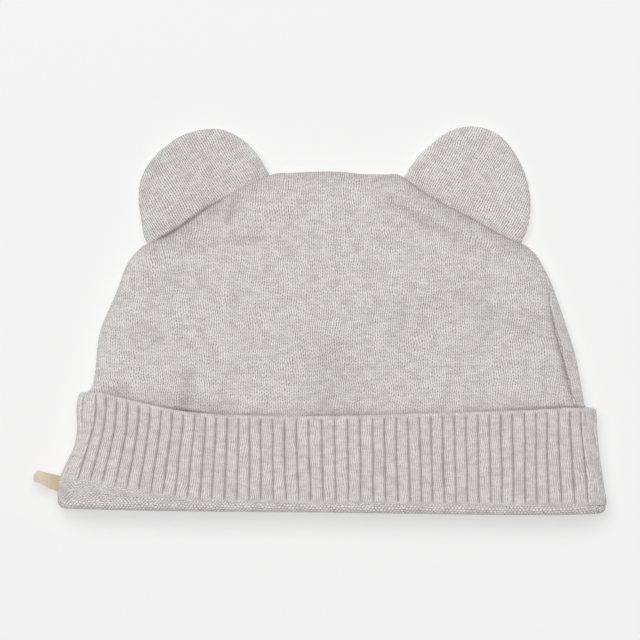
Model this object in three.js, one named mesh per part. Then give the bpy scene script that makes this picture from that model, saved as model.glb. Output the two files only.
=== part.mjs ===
// Baby hat with two round ears, lying flat on its back. Millimetres.
// +X runs across the hat, +Y from the turned-up cuff to the crown, +Z up off the table.
// Two jersey panels meet in a seam down each side and over the top. Each goes down to the hem,
// folds outwards there, and carries a ribbed band that stands up round the outside as the cuff.
import * as THREE from "three";

// ---- fabric and fit ------------------------------------------------------------------------
const JERSEY_WALL = 2.0;
const RIB_WALL = 2.4;
const LAYER_GAP = 0.55;         // air between the crown and the cuff turned up over it
const SEAM_GAP = 0.4;           // air between two panels at a seam
const BAND_GAP = 0.3;           // where the ribbed band takes over from the jersey
const CUFF_OUT = LAYER_GAP + RIB_WALL;

// ---- how the hat lies ----------------------------------------------------------------------
const SHOULDER = 90.5;          // height of the outer end of each ear
const LEVEL_ROWS = 42;          // up to here the rows of the panels run level
const FLAT_FROM = 60;           // above this the back panel lies on the table
const MOUTH_TOP = 13;           // top of the crown inside the cuff
const CROWN_TOP = 13.4;         // top of the crown at its fullest
const TIP_TOP = 11.2;           // top of the crown near the seam between the ears
const MOUTH_SEAM = 7.9;         // side seam over the table, at the cuff
const CROWN_SEAM = 4.6;         // the same seam over the table, at the crown
const ROUND_FRONT = { mouth: 9, crown: 19, top: 17 };   // how far in the front rounds over
const ROUND_BACK = { mouth: 7, crown: 5, top: 5 };      // how far in the back rounds under
const TIP_SLOPE = 20;           // the crown sinks to TIP_TOP over this far each side of the shoulder
const HEM_EASE = { from: 2.4, to: 8 };    // rows between these heights run from the hem's curve to level
const BAND_SIDES = { foot: 5, edge: 36 }; // the ribbed band takes the side outline between these heights
const EDGE_SOFT = 0.5;          // the outside of the cuff's free edge stands this much lower
const SEAM_TURN = 1.2;          // degrees round the right edge between the seam and each panel

// ---- outlines, seen from above ---------------------------------------------------------------
const SIDES = [
  { up: 0, left: -88.6, right: 88.9 },
  { up: 8, left: -88.5, right: 88.7 },
  { up: 16, left: -85.8, right: 87.5 },
  { up: 24, left: -81.9, right: 86.5 },
  { up: 32, left: -81.0, right: 85.7 },
  { up: 38, left: -80.5, right: 84.6 },
  { up: 44, left: -78.8, right: 83.6 },
  { up: 52, left: -78.0, right: 82.3 },
  { up: 60, left: -77.3, right: 80.0 },
  { up: 66, left: -75.1, right: 78.0 },
  { up: 72, left: -72.2, right: 75.9 },
  { up: 78, left: -70.0, right: 73.8 },
  { up: 84, left: -67.9, right: 70.7 },
  { up: 88, left: -64.7, right: 68.2 },
  { up: SHOULDER, left: -61.6, right: 64.7 },
];
const TOP_EDGE = [
  { across: -61.6, up: SHOULDER },
  { across: -56.7, up: 91.9 },
  { across: -50.0, up: 95.9 },
  { across: -43.3, up: 101.2 },
  { across: -36.7, up: 105.2 },
  { across: -30.0, up: 109.3 },
  { across: -25.0, up: 111.5 },
  { across: -18.5, up: 113.5 },
  { across: -7.0, up: 114.6 },
  { across: 3.0, up: 114.7 },
  { across: 13.0, up: 114.0 },
  { across: 22.5, up: 113.2 },
  { across: 29.5, up: 109.0 },
  { across: 36.2, up: 104.9 },
  { across: 42.8, up: 101.4 },
  { across: 49.5, up: 97.9 },
  { across: 56.2, up: 93.8 },
  { across: 64.7, up: SHOULDER },
];
// The back panel shows as a narrow strip inside the right edge.
const RIGHT_SEAM = [
  { up: 0, inset: 1.2 },
  { up: 37, inset: 3.6 },
  { up: 48, inset: 4.6 },
  { up: 60, inset: 4.7 },
  { up: 66, inset: 4.0 },
  { up: 72, inset: 2.6 },
  { up: 78, inset: 1.0 },
  { up: 84, inset: 0.2 },
  { up: SHOULDER, inset: 0 },
];
const CUFF_EDGE = [
  { across: -85, up: 41.9 },
  { across: -78, up: 40.9 },
  { across: -70, up: 39.6 },
  { across: -60, up: 37.0 },
  { across: -50, up: 34.8 },
  { across: -38, up: 33.7 },
  { across: 0, up: 33.2 },
  { across: 34, up: 34.2 },
  { across: 60, up: 34.9 },
  { across: 80, up: 36.1 },
  { across: 88, up: 37.5 },
];
const HEM_STRIP = [
  { across: -92, height: 6.4 },
  { across: -70, height: 4.8 },
  { across: -43, height: 3.2 },
  { across: 92, height: 2.9 },
];
const HEM_LINE = [
  { across: -92, lift: 2.4 },
  { across: -60, lift: 1.6 },
  { across: 0, lift: 1.0 },
  { across: 70, lift: 0.1 },
  { across: 92, lift: 0.6 },
];
// Where the seams open for what they hold, and where they are shut again.
const EAR_SLOTS = [
  { from: -66, open: -62.5, closing: -13, shut: -6 },
  { from: 12, open: 18.5, closing: 66, shut: 69 },
];
const EAR_SLOTS_UP = { from: 78, open: 88 };
const LABEL_SLOT = { from: 1, open: 6.5, closing: 15.5, shut: 21 };
const LABEL_SLOT_LEFT = { from: 78, open: 80 };
// Soft folds and dents of the front: a line from one place to another, its reach and depth.
const FOLDS = [
  { x0: 12, y0: 109, x1: 51, y1: 91, reach: 4.5, deep: 0.8 },
  { x0: -54, y0: 86, x1: -22, y1: 104, reach: 4.5, deep: 0.6 },
  { x0: -50, y0: 38, x1: -47, y1: 46, reach: 9, deep: 0.9 },
  { x0: 0, y0: 38, x1: 2, y1: 50, reach: 10, deep: 0.7 },
  { x0: -72, y0: 71, x1: -58, y1: 74, reach: 6, deep: 0.8 },
];
const FOLDS_FROM = 0.2;         // share of the rise from an edge where the folds begin to show
const FOLDS_FULL = 0.9;

// ---- ears and label --------------------------------------------------------------------------
const EAR_HALF = 2.0;           // half the thickness of the two layers of an ear
const EAR_ROOT_HALF = 1.2;      // the same where the ear is caught in the seam
const EAR_TUCK = 1.6;           // how far it goes into the seam
const EAR_CLEAR = 2.2;          // it thickens and droops only this far clear of the seam
const EAR_ROUND = 3.2;          // how far in from its rim an ear rounds over
const EAR_FULL = 9;             // it is at its full thickness this far out
const EAR_TIP_REST = 2.0;       // the middle of an ear, over the table, at its tip
const EAR_DROOP_SHARE = 0.8;    // share of its length over which it comes down to the table
const EAR_ROUND_SHARE = 0.4;    // most of a short column that may be rounded
const EAR_CLEAR_SHARE = 0.3;    // least of a column that lies between the rounding and the root
const EAR_TUCK_FROM = -0.1;     // the tuck eases in from each end of the root
const EAR_TUCK_FULL = 0.4;
const EARS = {
  ear_left: {
    foot: [-61.7, 89.7],
    head: [-19.6, 113.2],
    outline: [
      { out: 1.0, foot: 23.2, head: 23.4 },
      { out: 4, foot: 22.6, head: 23.6 },
      { out: 8, foot: 21.1, head: 23.2 },
      { out: 12, foot: 19.6, head: 22.4 },
      { out: 16, foot: 17.7, head: 21.0 },
      { out: 20, foot: 14.9, head: 18.6 },
      { out: 23, foot: 11.2, head: 15.4 },
      { out: 25.4, foot: 5.2, head: 10.2 },
      { out: 26.5, foot: -2.5, head: 5.0 },
    ],
  },
  ear_right: {
    foot: [25.3, 113.0],
    head: [64.7, 90.7],
    outline: [
      { out: 1.0, foot: 22.9, head: 21.7 },
      { out: 4, foot: 22.8, head: 21.4 },
      { out: 8, foot: 22.0, head: 20.4 },
      { out: 12, foot: 20.8, head: 18.5 },
      { out: 16, foot: 19.2, head: 15.8 },
      { out: 20, foot: 17.3, head: 12.1 },
      { out: 23, foot: 15.0, head: 8.1 },
      { out: 26, foot: 10.9, head: 2.4 },
      { out: 27.5, foot: 6.6, head: -2.4 },
    ],
  },
};
const LABEL = { long: 9.6, wide: 4.8, ribbon: 1.0, slot: 0.5, tilt: 0.38, rootX: -89.7, rootY: 10.2 };

// ---- plain colours ------------------------------------------------------------------------------
const CROWN_GREY = 0xc9c5c1;
const CUFF_GREY = 0xc6c2be;
const EAR_GREY = 0xccc8c4;
const RIBBON_BEIGE = 0xd8c4a8;
const KNIT_ROUGH = 0.95;
const RIBBON_ROUGH = 0.8;

// ---- how finely the soft shapes are drawn ------------------------------------------------------
const ROUND_STEPS = 5;
const FLAT_STEPS = 13;
const FLAT_ROWS = 6;
const EDGE_INSETS = [0, 0.5, 1.8, 4, 7.5, 12, 17];    // rows near the top edge
const CUFF_ROWS = [4.6, 8, 12, 16, 20, 24, 30, 36];
const CUFF_STEPS = 9;
const TURN_STEPS = 5;
const STRIP_SHARES = [1, 0.5, 0];                     // columns of the back panel's narrow strip
const EAR_COLUMNS = 26;
const EAR_ROWS = 5;
const LABEL_BEND_STEPS = 6;

const { lerp, clamp, smoothstep, degToRad } = THREE.MathUtils;
const QUARTER = Math.PI / 2;

// A smooth line through one column of a table.
function lineThrough(rows, from, to) {
  return (value) => {
    let end = 1;
    while (end < rows.length - 1 && rows[end][from] < value) end += 1;
    const a = rows[end - 1];
    const b = rows[end];
    const before = rows[Math.max(end - 2, 0)];
    const after = rows[Math.min(end + 1, rows.length - 1)];
    const span = b[from] - a[from];
    const t = clamp((value - a[from]) / span, 0, 1);
    const slopeA = span * (b[to] - before[to]) / (b[from] - before[from]);
    const slopeB = span * (after[to] - a[to]) / (after[from] - a[from]);
    const t2 = t * t;
    const t3 = t2 * t;
    return (2 * t3 - 3 * t2 + 1) * a[to] + (t3 - 2 * t2 + t) * slopeA
      + (3 * t2 - 2 * t3) * b[to] + (t3 - t2) * slopeB;
  };
}

const leftEdge = lineThrough(SIDES, "up", "left");
const rightEdge = lineThrough(SIDES, "up", "right");
const topEdge = lineThrough(TOP_EDGE, "across", "up");
const rightSeam = lineThrough(RIGHT_SEAM, "up", "inset");
const cuffEdge = lineThrough(CUFF_EDGE, "across", "up");
const hemStrip = lineThrough(HEM_STRIP, "across", "height");
const hemLine = lineThrough(HEM_LINE, "across", "lift");

// Heights over the table change from the cuff to the crown.
const ease = (up, mouth, crown) => lerp(mouth, crown, smoothstep(up, LEVEL_ROWS, FLAT_FROM));
const seamHeight = (up) => ease(up, MOUTH_SEAM, CROWN_SEAM);
const floorHeight = (up) => ease(up, CUFF_OUT, 0);
const crownHeight = (up) => {
  const full = ease(up, MOUTH_TOP, CROWN_TOP);
  return lerp(full, TIP_TOP, smoothstep(up, SHOULDER - TIP_SLOPE, SHOULDER + TIP_SLOPE));
};
const sideRound = (face, up) => {
  const round = face === "front" ? ROUND_FRONT : ROUND_BACK;
  return ease(up, round.mouth, round.crown);
};
const topRound = (face) => (face === "front" ? ROUND_FRONT : ROUND_BACK).top;

// Quarter-round rise from an edge.
const rise = (distance, reach) => {
  const share = clamp(1 - distance / reach, 0, 1);
  return Math.sqrt(1 - share * share);
};

function foldDepth(x, y) {
  let depth = 0;
  for (const fold of FOLDS) {
    const line = new THREE.Line3(new THREE.Vector3(fold.x0, fold.y0), new THREE.Vector3(fold.x1, fold.y1));
    const here = new THREE.Vector3(x, y, 0);
    const away = line.closestPointToPoint(here, true, new THREE.Vector3()).distanceTo(here);
    depth += fold.deep * Math.exp(-((away / fold.reach) ** 2));
  }
  return depth;
}

const slotShare = (value, slot) => (
  smoothstep(value, slot.from, slot.open) - smoothstep(value, slot.closing, slot.shut)
);

// Half the opening of the seam: wider where it holds an ear or the label.
function seamOpening(x, y) {
  const ear = EAR_ROOT_HALF + BAND_GAP - SEAM_GAP / 2;
  const label = LABEL.ribbon + LABEL.slot / 2 + BAND_GAP - SEAM_GAP / 2;
  const acrossEars = slotShare(x, EAR_SLOTS[0]) + slotShare(x, EAR_SLOTS[1]);
  const atEars = smoothstep(y, EAR_SLOTS_UP.from, EAR_SLOTS_UP.open) * acrossEars;
  const onLeft = smoothstep(-x, LABEL_SLOT_LEFT.from, LABEL_SLOT_LEFT.open);
  const atLabel = slotShare(y, LABEL_SLOT) * onLeft;
  return SEAM_GAP / 2 + ear * atEars + label * atLabel;
}

// One place on the crown. A column is held to an edge by an angle round it, or lies in the flat
// between the edges. A row has its height up the side, and its height and distance from the top
// edge for the column. out is how far the place stands outside the crown's own surface.
function skin(face, column, row, out) {
  const reach = sideRound(column.profile ?? face, row.side);
  const flatLeft = leftEdge(row.side) + reach;
  const flatRight = rightEdge(row.side) - reach;
  let angle = column.angle ?? QUARTER;
  if (column.seam !== undefined) {
    const seam = Math.acos(1 - rightSeam(row.side) / reach);
    angle = lerp(Math.max(seam + column.shift, 0), column.seam, column.share);
  }
  let x = lerp(flatLeft, flatRight, column.across ?? 0);
  if (column.edge === "left") x = flatLeft - (reach + out) * Math.cos(angle);
  if (column.edge === "right") x = flatRight + (reach + out) * Math.cos(angle);
  const y = row.up(x);
  const front = (column.profile ?? face) === "front";
  const inset = row.fromTop;
  const topShare = inset === undefined ? 1 : rise(inset, topRound(front ? "front" : "back") + out);
  const share = Math.sin(angle) * topShare;
  const seam = seamHeight(row.side);
  const open = seamOpening(x, y);
  const fold = foldDepth(x, y) * smoothstep(share, FOLDS_FROM, FOLDS_FULL);
  let z = lerp(seam - open, floorHeight(row.side) - out, share);
  if (front) {
    const start = face === "front" ? seam + open : seam - open;
    z = lerp(start, crownHeight(y) - fold + out, share);
  }
  return new THREE.Vector3(x, y, z);
}

// Columns across a panel, from its left seam to its right seam.
function panelColumns(face) {
  const columns = [];
  const shift = degToRad(SEAM_TURN);
  for (let i = 0; i < ROUND_STEPS; i += 1) columns.push({ edge: "left", angle: QUARTER * i / ROUND_STEPS });
  for (let i = 0; i <= FLAT_STEPS; i += 1) columns.push({ across: i / FLAT_STEPS });
  if (face === "front") {
    for (let i = ROUND_STEPS - 1; i >= 0; i -= 1) {
      columns.push({ edge: "right", seam: QUARTER, shift, share: i / ROUND_STEPS });
    }
    return columns;
  }
  for (let i = ROUND_STEPS - 1; i > 0; i -= 1) {
    columns.push({ edge: "right", angle: QUARTER * i / ROUND_STEPS });
  }
  for (const share of STRIP_SHARES) {
    columns.push({ edge: "right", profile: "front", seam: 0, shift: -shift, share });
  }
  return columns;
}

// Rows up a panel: level ones inside the cuff, then rows that spread to follow the top edge.
function levelRow(up) {
  return { side: up, up: (x) => up + hemLine(x) * (1 - smoothstep(up, HEM_EASE.from, HEM_EASE.to)) };
}
function crownRow(share) {
  const low = LEVEL_ROWS;
  const deepest = EDGE_INSETS.at(-1);
  const side = lerp(low, SHOULDER - deepest, share);
  return { side, up: (x) => lerp(low, topEdge(towardsTop(x, side)) - deepest, share) };
}
function edgeRow(face, inset, out) {
  const reach = topRound(face);
  const fromTop = inset < reach ? inset * (reach + out) / reach : inset + out;
  const side = Math.min(SHOULDER + out - fromTop, SHOULDER);
  return { side, up: (x) => topEdge(towardsTop(x, side)) + out - fromTop, fromTop };
}
// Where the column through x at this height meets the top edge.
function towardsTop(x, side) {
  const share = (x - leftEdge(side)) / (rightEdge(side) - leftEdge(side));
  return lerp(leftEdge(SHOULDER), rightEdge(SHOULDER), clamp(share, 0, 1));
}

// A closed sheet between two grids of the same size, one for each of its faces.
function closedSheet(name, colour, one, other) {
  const rows = one.length;
  const columns = one[0].length;
  const positions = [];
  for (const point of [...one.flat(), ...other.flat()]) positions.push(point.x, point.y, point.z);
  const at = (layer, i, j) => layer * rows * columns + i * columns + j;
  const index = [];
  const quad = (a, b, c, d) => index.push(a, b, c, a, c, d);
  for (let i = 0; i < rows - 1; i += 1) {
    for (let j = 0; j < columns - 1; j += 1) {
      quad(at(0, i, j), at(0, i, j + 1), at(0, i + 1, j + 1), at(0, i + 1, j));
      quad(at(1, i, j), at(1, i + 1, j), at(1, i + 1, j + 1), at(1, i, j + 1));
    }
  }
  for (let j = 0; j < columns - 1; j += 1) {
    quad(at(0, 0, j), at(1, 0, j), at(1, 0, j + 1), at(0, 0, j + 1));
    quad(at(0, rows - 1, j), at(0, rows - 1, j + 1), at(1, rows - 1, j + 1), at(1, rows - 1, j));
  }
  for (let i = 0; i < rows - 1; i += 1) {
    quad(at(0, i, 0), at(0, i + 1, 0), at(1, i + 1, 0), at(1, i, 0));
    quad(at(0, i, columns - 1), at(1, i, columns - 1), at(1, i + 1, columns - 1), at(0, i + 1, columns - 1));
  }
  return finished(name, colour, positions, index);
}

// A named knitted mesh whose faces look outwards.
function finished(name, colour, positions, index) {
  const corner = (k) => new THREE.Vector3().fromArray(positions, index[k] * 3);
  let volume = 0;
  for (let k = 0; k < index.length; k += 3) volume += corner(k).dot(corner(k + 1).cross(corner(k + 2)));
  if (volume < 0) index.reverse();
  const geometry = new THREE.BufferGeometry();
  geometry.setAttribute("position", new THREE.Float32BufferAttribute(positions, 3));
  geometry.setIndex(index);
  geometry.computeVertexNormals();
  const material = new THREE.MeshStandardMaterial({ color: colour, roughness: KNIT_ROUGH, metalness: 0 });
  const mesh = new THREE.Mesh(geometry, material);
  mesh.name = name;
  return mesh;
}

// A crown panel: from the top seam down to the hem, round the turn and up to the ribbed band.
function crownPanel(name, face) {
  const columns = panelColumns(face);
  const layer = (out) => {
    const grid = [];
    for (const inset of EDGE_INSETS) {
      const row = edgeRow(face, inset, out);
      grid.push(columns.map((column) => skin(face, column, row, out)));
    }
    for (let i = FLAT_ROWS - 1; i >= 0; i -= 1) {
      const row = crownRow(i / FLAT_ROWS);
      grid.push(columns.map((column) => skin(face, column, row, out)));
    }
    for (let i = CUFF_ROWS.length - 1; i >= 0; i -= 1) {
      const row = levelRow(CUFF_ROWS[i]);
      grid.push(columns.map((column) => skin(face, column, row, out)));
    }
    return grid;
  };
  const turn = (grid, from, to) => {
    const middle = (from + to) / 2;
    const reach = (to - from) / 2;
    const centre = CUFF_OUT / 2 + JERSEY_WALL / 2;
    for (let i = 0; i <= TURN_STEPS; i += 1) {
      const angle = Math.PI * i / TURN_STEPS;
      const row = levelRow(centre - reach * Math.sin(angle));
      grid.push(columns.map((column) => skin(face, column, row, middle - reach * Math.cos(angle))));
    }
    const end = { side: centre + 1, up: (x) => hemLine(x) + hemStrip(x) };
    grid.push(columns.map((column) => skin(face, column, end, to)));
    return grid;
  };
  const outside = turn(layer(0), 0, LAYER_GAP);
  const inside = turn(layer(-JERSEY_WALL), -JERSEY_WALL, CUFF_OUT);
  return closedSheet(name, CROWN_GREY, outside, inside);
}

// A ribbed band: the turned-up cuff over one crown panel.
function cuffBand(name, face) {
  const columns = panelColumns(face);
  const layer = (out, soften) => {
    const grid = [];
    for (let i = 0; i <= CUFF_STEPS; i += 1) {
      const share = i / CUFF_STEPS;
      const foot = (x) => hemLine(x) + hemStrip(x) + BAND_GAP;
      const up = (x) => lerp(foot(x), cuffEdge(x) - (i === CUFF_STEPS ? soften : 0), share);
      grid.push(columns.map((column) => {
        const level = { side: lerp(BAND_SIDES.foot, BAND_SIDES.edge, share), up: () => 0 };
        const side = up(skin(face, column, level, out).x);
        return skin(face, column, { side, up }, out);
      }));
    }
    return grid;
  };
  return closedSheet(name, CUFF_GREY, layer(CUFF_OUT, EDGE_SOFT), layer(LAYER_GAP, 0));
}

// An ear: two layers seamed round the rim, its root caught between the crown panels.
function ear(name, plan) {
  const foot = new THREE.Vector2(...plan.foot);
  const head = new THREE.Vector2(...plan.head);
  const along = head.clone().sub(foot).normalize();
  const out = new THREE.Vector2(-along.y, along.x);
  const middle = foot.clone().add(head).multiplyScalar(0.5);
  const place = (a, b) => middle.clone().addScaledVector(along, a).addScaledVector(out, b);
  const up = plan.outline.map((row) => place(-row.foot, row.out));
  const down = plan.outline.map((row) => place(row.head, row.out)).reverse();
  const rim = new THREE.SplineCurve([...up, ...down]);
  const reach = plan.outline.at(-1).out;
  const faces = [1, -1].map((side) => {
    const grid = [];
    for (let j = 0; j <= EAR_COLUMNS; j += 1) {
      const share = j / EAR_COLUMNS;
      const tip = rim.getPointAt(share);
      const a = lerp(-plan.outline[0].foot, plan.outline[0].head, share);
      const line = place(a, 0);
      const tuck = EAR_TUCK * smoothstep(Math.sin(Math.PI * share), EAR_TUCK_FROM, EAR_TUCK_FULL);
      const root = new THREE.Vector2(line.x, topEdge(line.x)).addScaledVector(out, -tuck);
      const long = root.distanceTo(tip);
      const inset = Math.min(EAR_ROUND, long * EAR_ROUND_SHARE);
      const clear = Math.max(long - tuck - EAR_CLEAR, inset + EAR_CLEAR_SHARE * (long - inset));
      const fromRim = [long, clear, (clear + inset) / 2];
      for (let i = 0; i <= EAR_ROWS; i += 1) fromRim.push(inset * (1 - Math.sin(QUARTER * i / EAR_ROWS)));
      grid.push(fromRim.map((distance) => {
        const here = tip.clone().lerp(root, distance / long);
        const away = here.clone().sub(middle).dot(out);
        const full = lerp(EAR_ROOT_HALF, EAR_HALF, smoothstep(away, EAR_CLEAR, EAR_FULL));
        const half = full * rise(distance, EAR_ROUND);
        const rest = lerp(CROWN_SEAM, EAR_TIP_REST, smoothstep(away, EAR_CLEAR, reach * EAR_DROOP_SHARE));
        return new THREE.Vector3(here.x, here.y, Math.max(rest + side * half, 0));
      }));
    }
    return grid;
  });
  return rimmedSheet(name, EAR_GREY, faces[0], faces[1]);
}

// A closed sheet whose two faces share their last column of points all round the rim.
function rimmedSheet(name, colour, top, bottom) {
  const columns = top.length;
  const rows = top[0].length;
  const positions = [];
  for (const point of top.flat()) positions.push(point.x, point.y, point.z);
  for (const point of bottom.flatMap((line) => line.slice(0, -1))) positions.push(point.x, point.y, point.z);
  const upper = (i, j) => i * rows + j;
  const lower = (i, j) => (j === rows - 1 ? upper(i, j) : columns * rows + i * (rows - 1) + j);
  const index = [];
  const quad = (a, b, c, d) => index.push(a, b, c, a, c, d);
  for (let i = 0; i < columns - 1; i += 1) {
    for (let j = 0; j < rows - 1; j += 1) {
      quad(upper(i, j), upper(i + 1, j), upper(i + 1, j + 1), upper(i, j + 1));
      quad(lower(i, j), lower(i, j + 1), lower(i + 1, j + 1), lower(i + 1, j));
    }
    quad(upper(i, 0), lower(i, 0), lower(i + 1, 0), upper(i + 1, 0));
  }
  for (const end of [0, columns - 1]) {
    for (let j = 0; j < rows - 1; j += 1) {
      const ring = [upper(end, j), upper(end, j + 1), lower(end, j + 1), lower(end, j)];
      const turned = end === 0 ? ring : ring.reverse();
      if (j < rows - 2) quad(...turned);
      else index.push(...(end === 0 ? [ring[0], ring[1], ring[3]] : [ring[0], ring[2], ring[3]]));
    }
  }
  return finished(name, colour, positions, index);
}

// The label: a ribbon folded in a loop, its two ends caught in the left seam.
function sideLabel() {
  const half = LABEL.ribbon + LABEL.slot / 2;
  const bend = LABEL.long - half;
  const shape = new THREE.Shape();
  shape.moveTo(0, -half);
  shape.lineTo(bend, -half);
  shape.absarc(bend, 0, half, -QUARTER, QUARTER, false);
  shape.lineTo(0, half);
  shape.lineTo(0, LABEL.slot / 2);
  shape.lineTo(bend, LABEL.slot / 2);
  shape.absarc(bend, 0, LABEL.slot / 2, QUARTER, -QUARTER, true);
  shape.lineTo(0, -LABEL.slot / 2);
  shape.closePath();
  const drawn = { depth: LABEL.wide, bevelEnabled: false, curveSegments: LABEL_BEND_STEPS };
  const geometry = new THREE.ExtrudeGeometry(shape, drawn);
  geometry.translate(0, 0, -LABEL.wide / 2);
  geometry.rotateX(QUARTER);
  geometry.rotateZ(Math.PI - LABEL.tilt);
  geometry.translate(LABEL.rootX, LABEL.rootY, MOUTH_SEAM);
  const looks = { color: RIBBON_BEIGE, roughness: RIBBON_ROUGH, metalness: 0 };
  const mesh = new THREE.Mesh(geometry, new THREE.MeshStandardMaterial(looks));
  mesh.name = "side_label";
  return mesh;
}

const hat = new THREE.Group();
hat.name = "baby_hat";
hat.add(crownPanel("crown_front", "front"));
hat.add(crownPanel("crown_back", "back"));
hat.add(cuffBand("cuff_front", "front"));
hat.add(cuffBand("cuff_back", "back"));
for (const [name, plan] of Object.entries(EARS)) hat.add(ear(name, plan));
hat.add(sideLabel());

// The origin is the middle of the hat's box, on the table.
const box = new THREE.Box3().setFromObject(hat);
const centre = box.getCenter(new THREE.Vector3());
hat.position.set(-centre.x, -centre.y, -box.min.z);

export default hat;
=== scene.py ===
# %% [markdown]
# # A knitted baby hat with two ears
# The hat lies flat on its back. Two panels of fine jersey meet in a seam down each side and over
# the top, the ears are caught in that seam, and the ribbed lower part is turned up as a cuff.
# Each piece is a soft sheet, so each is drawn as a grid of points over the solid that the frame
# holds, and gets its wall, its rolled edges and a map counted in stitches for the knit.

# %% Load the frame
import math

import bpy
import numpy as np
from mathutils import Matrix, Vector


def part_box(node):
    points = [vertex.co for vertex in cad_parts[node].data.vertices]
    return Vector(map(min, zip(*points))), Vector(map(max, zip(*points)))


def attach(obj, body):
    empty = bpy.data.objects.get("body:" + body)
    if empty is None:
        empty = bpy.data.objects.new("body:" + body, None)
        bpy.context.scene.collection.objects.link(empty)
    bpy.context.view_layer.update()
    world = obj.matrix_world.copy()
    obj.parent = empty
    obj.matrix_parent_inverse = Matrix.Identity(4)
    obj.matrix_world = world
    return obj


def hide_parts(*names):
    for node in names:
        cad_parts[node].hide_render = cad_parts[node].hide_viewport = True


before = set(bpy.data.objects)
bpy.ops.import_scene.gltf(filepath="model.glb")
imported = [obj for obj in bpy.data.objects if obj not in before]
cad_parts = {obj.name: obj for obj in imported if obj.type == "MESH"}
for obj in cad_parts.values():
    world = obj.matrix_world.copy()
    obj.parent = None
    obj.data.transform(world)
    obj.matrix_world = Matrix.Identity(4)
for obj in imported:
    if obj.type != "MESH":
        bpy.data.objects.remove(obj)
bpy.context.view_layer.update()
bpy.ops.object.select_all(action="DESELECT")
MM = 0.001
print("nodes:", sorted(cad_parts))

# %% [markdown]
# ## Reading the shape from the frame
# The outlines and heights of the hat are already in its solids. A solid cut by a plane gives a
# few points, and their furthest one is the outline there. Cutting at many places and softening
# the result gives smooth curves to lay the cloth on, with no list of points to keep in step.
# Everything in the cells below is in millimetres until a mesh is made.

# %% Cut the solids and keep their outlines
MESHES = {}
for node_name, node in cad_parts.items():
    node.data.calc_loop_triangles()
    points = np.array([vertex.co for vertex in node.data.vertices]) / MM
    faces = np.array([triangle.vertices for triangle in node.data.loop_triangles])
    MESHES[node_name] = (points, np.vstack([faces[:, [0, 1]], faces[:, [1, 2]], faces[:, [2, 0]]]))


def cut(node_names, axis, place):
    """The points where the faces' edges of these nodes cross the plane axis = place."""
    found = []
    for name in node_names:
        points, edges = MESHES[name]
        one = points[edges[:, 0]]
        two = points[edges[:, 1]]
        low = one[:, axis] - place
        high = two[:, axis] - place
        crossing = low * high < 0
        share = (low / np.where(crossing, low - high, 1))[crossing, None]
        found.append(one[crossing] + share * (two[crossing] - one[crossing]))
    return np.vstack(found)


def softened(values, reach):
    """The same values with their corners rounded over reach samples, ends kept."""
    half = int(3 * reach)
    weights = np.exp(-0.5 * (np.arange(-half, half + 1) / reach) ** 2)
    padded = np.concatenate([
        2 * values[0] - values[half:0:-1],
        values,
        2 * values[-1] - values[-2:-half - 2:-1],
    ])
    return np.convolve(padded, weights / weights.sum(), "valid")


def node_box(name):
    low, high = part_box(name)
    return np.array(low) / MM, np.array(high) / MM


def outline(cuts, pick, reach):
    """One number picked from each cut, softened over reach cuts."""
    return softened(np.array([pick(points) for points in cuts]), reach)


def seam_height(points):
    """The mean height of a cut at its left edge, where the seam is."""
    return points[points[:, 0] < points[:, 0].min() + 1.2, 2].mean()


EAR_GAP = 0.3
HEM = node_box("crown_front")[0][1]
MIDDLE = (node_box("cuff_back")[0][0] + node_box("cuff_back")[1][0]) / 2
SHOULDER = (node_box("ear_left")[0][1] + node_box("ear_right")[0][1]) / 2 - EAR_GAP

UP = np.linspace(HEM + 10, SHOULDER - 0.05, 90)
hat_cuts = [cut(["crown_front", "crown_back"], 1, y) for y in UP]
front_cuts = [cut(["crown_front"], 1, y) for y in UP]
SIDE_LEFT = outline(hat_cuts, lambda points: points[:, 0].min(), 2.2)
SIDE_RIGHT = outline(hat_cuts, lambda points: points[:, 0].max(), 2.2)
SEAM_RIGHT = outline(front_cuts, lambda points: points[:, 0].max(), 2)
CROWN_TOP = outline(front_cuts, lambda points: np.percentile(points[:, 2], 97), 5)
FLOOR = outline(hat_cuts, lambda points: points[:, 2].min(), 3)
SEAM_Z = outline(hat_cuts, seam_height, 4)

ACROSS = np.linspace(SIDE_LEFT[-1] + EAR_GAP, SIDE_RIGHT[-1] - EAR_GAP, 90)
top_cuts = [cut(["crown_front"], 0, x) for x in ACROSS]
TOP_EDGE = outline(top_cuts, lambda points: points[:, 1].max(), 2)
cuff_low, cuff_high = node_box("cuff_front")
BAND_ACROSS = np.linspace(cuff_low[0] + 8, cuff_high[0] - 6, 80)
band_cuts = [cut(["cuff_front"], 0, x) for x in BAND_ACROSS]
hem_cuts = [cut(["crown_front"], 0, x) for x in BAND_ACROSS]
CUFF_EDGE = outline(band_cuts, lambda points: points[:, 1].max(), 2)
BAND_FOOT = outline(band_cuts, lambda points: points[:, 1].min(), 2)
HEM_LINE = outline(hem_cuts, lambda points: points[:, 1].min(), 2)
print(f"hem {HEM:.1f}, shoulder {SHOULDER:.1f}, crown top edge {TOP_EDGE.max():.1f} mm")

# %% [markdown]
# Cuts and softening lose the small corners of an outline, so those are put back here as soft
# swellings. Two helpers do all of this file's blending: smooth() eases from 0 to 1, and
# stretch() is 1 along a stretch that is named by the four places of its two soft ends. Places
# across are counted from the hat's middle, and places up from its hem.

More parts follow.
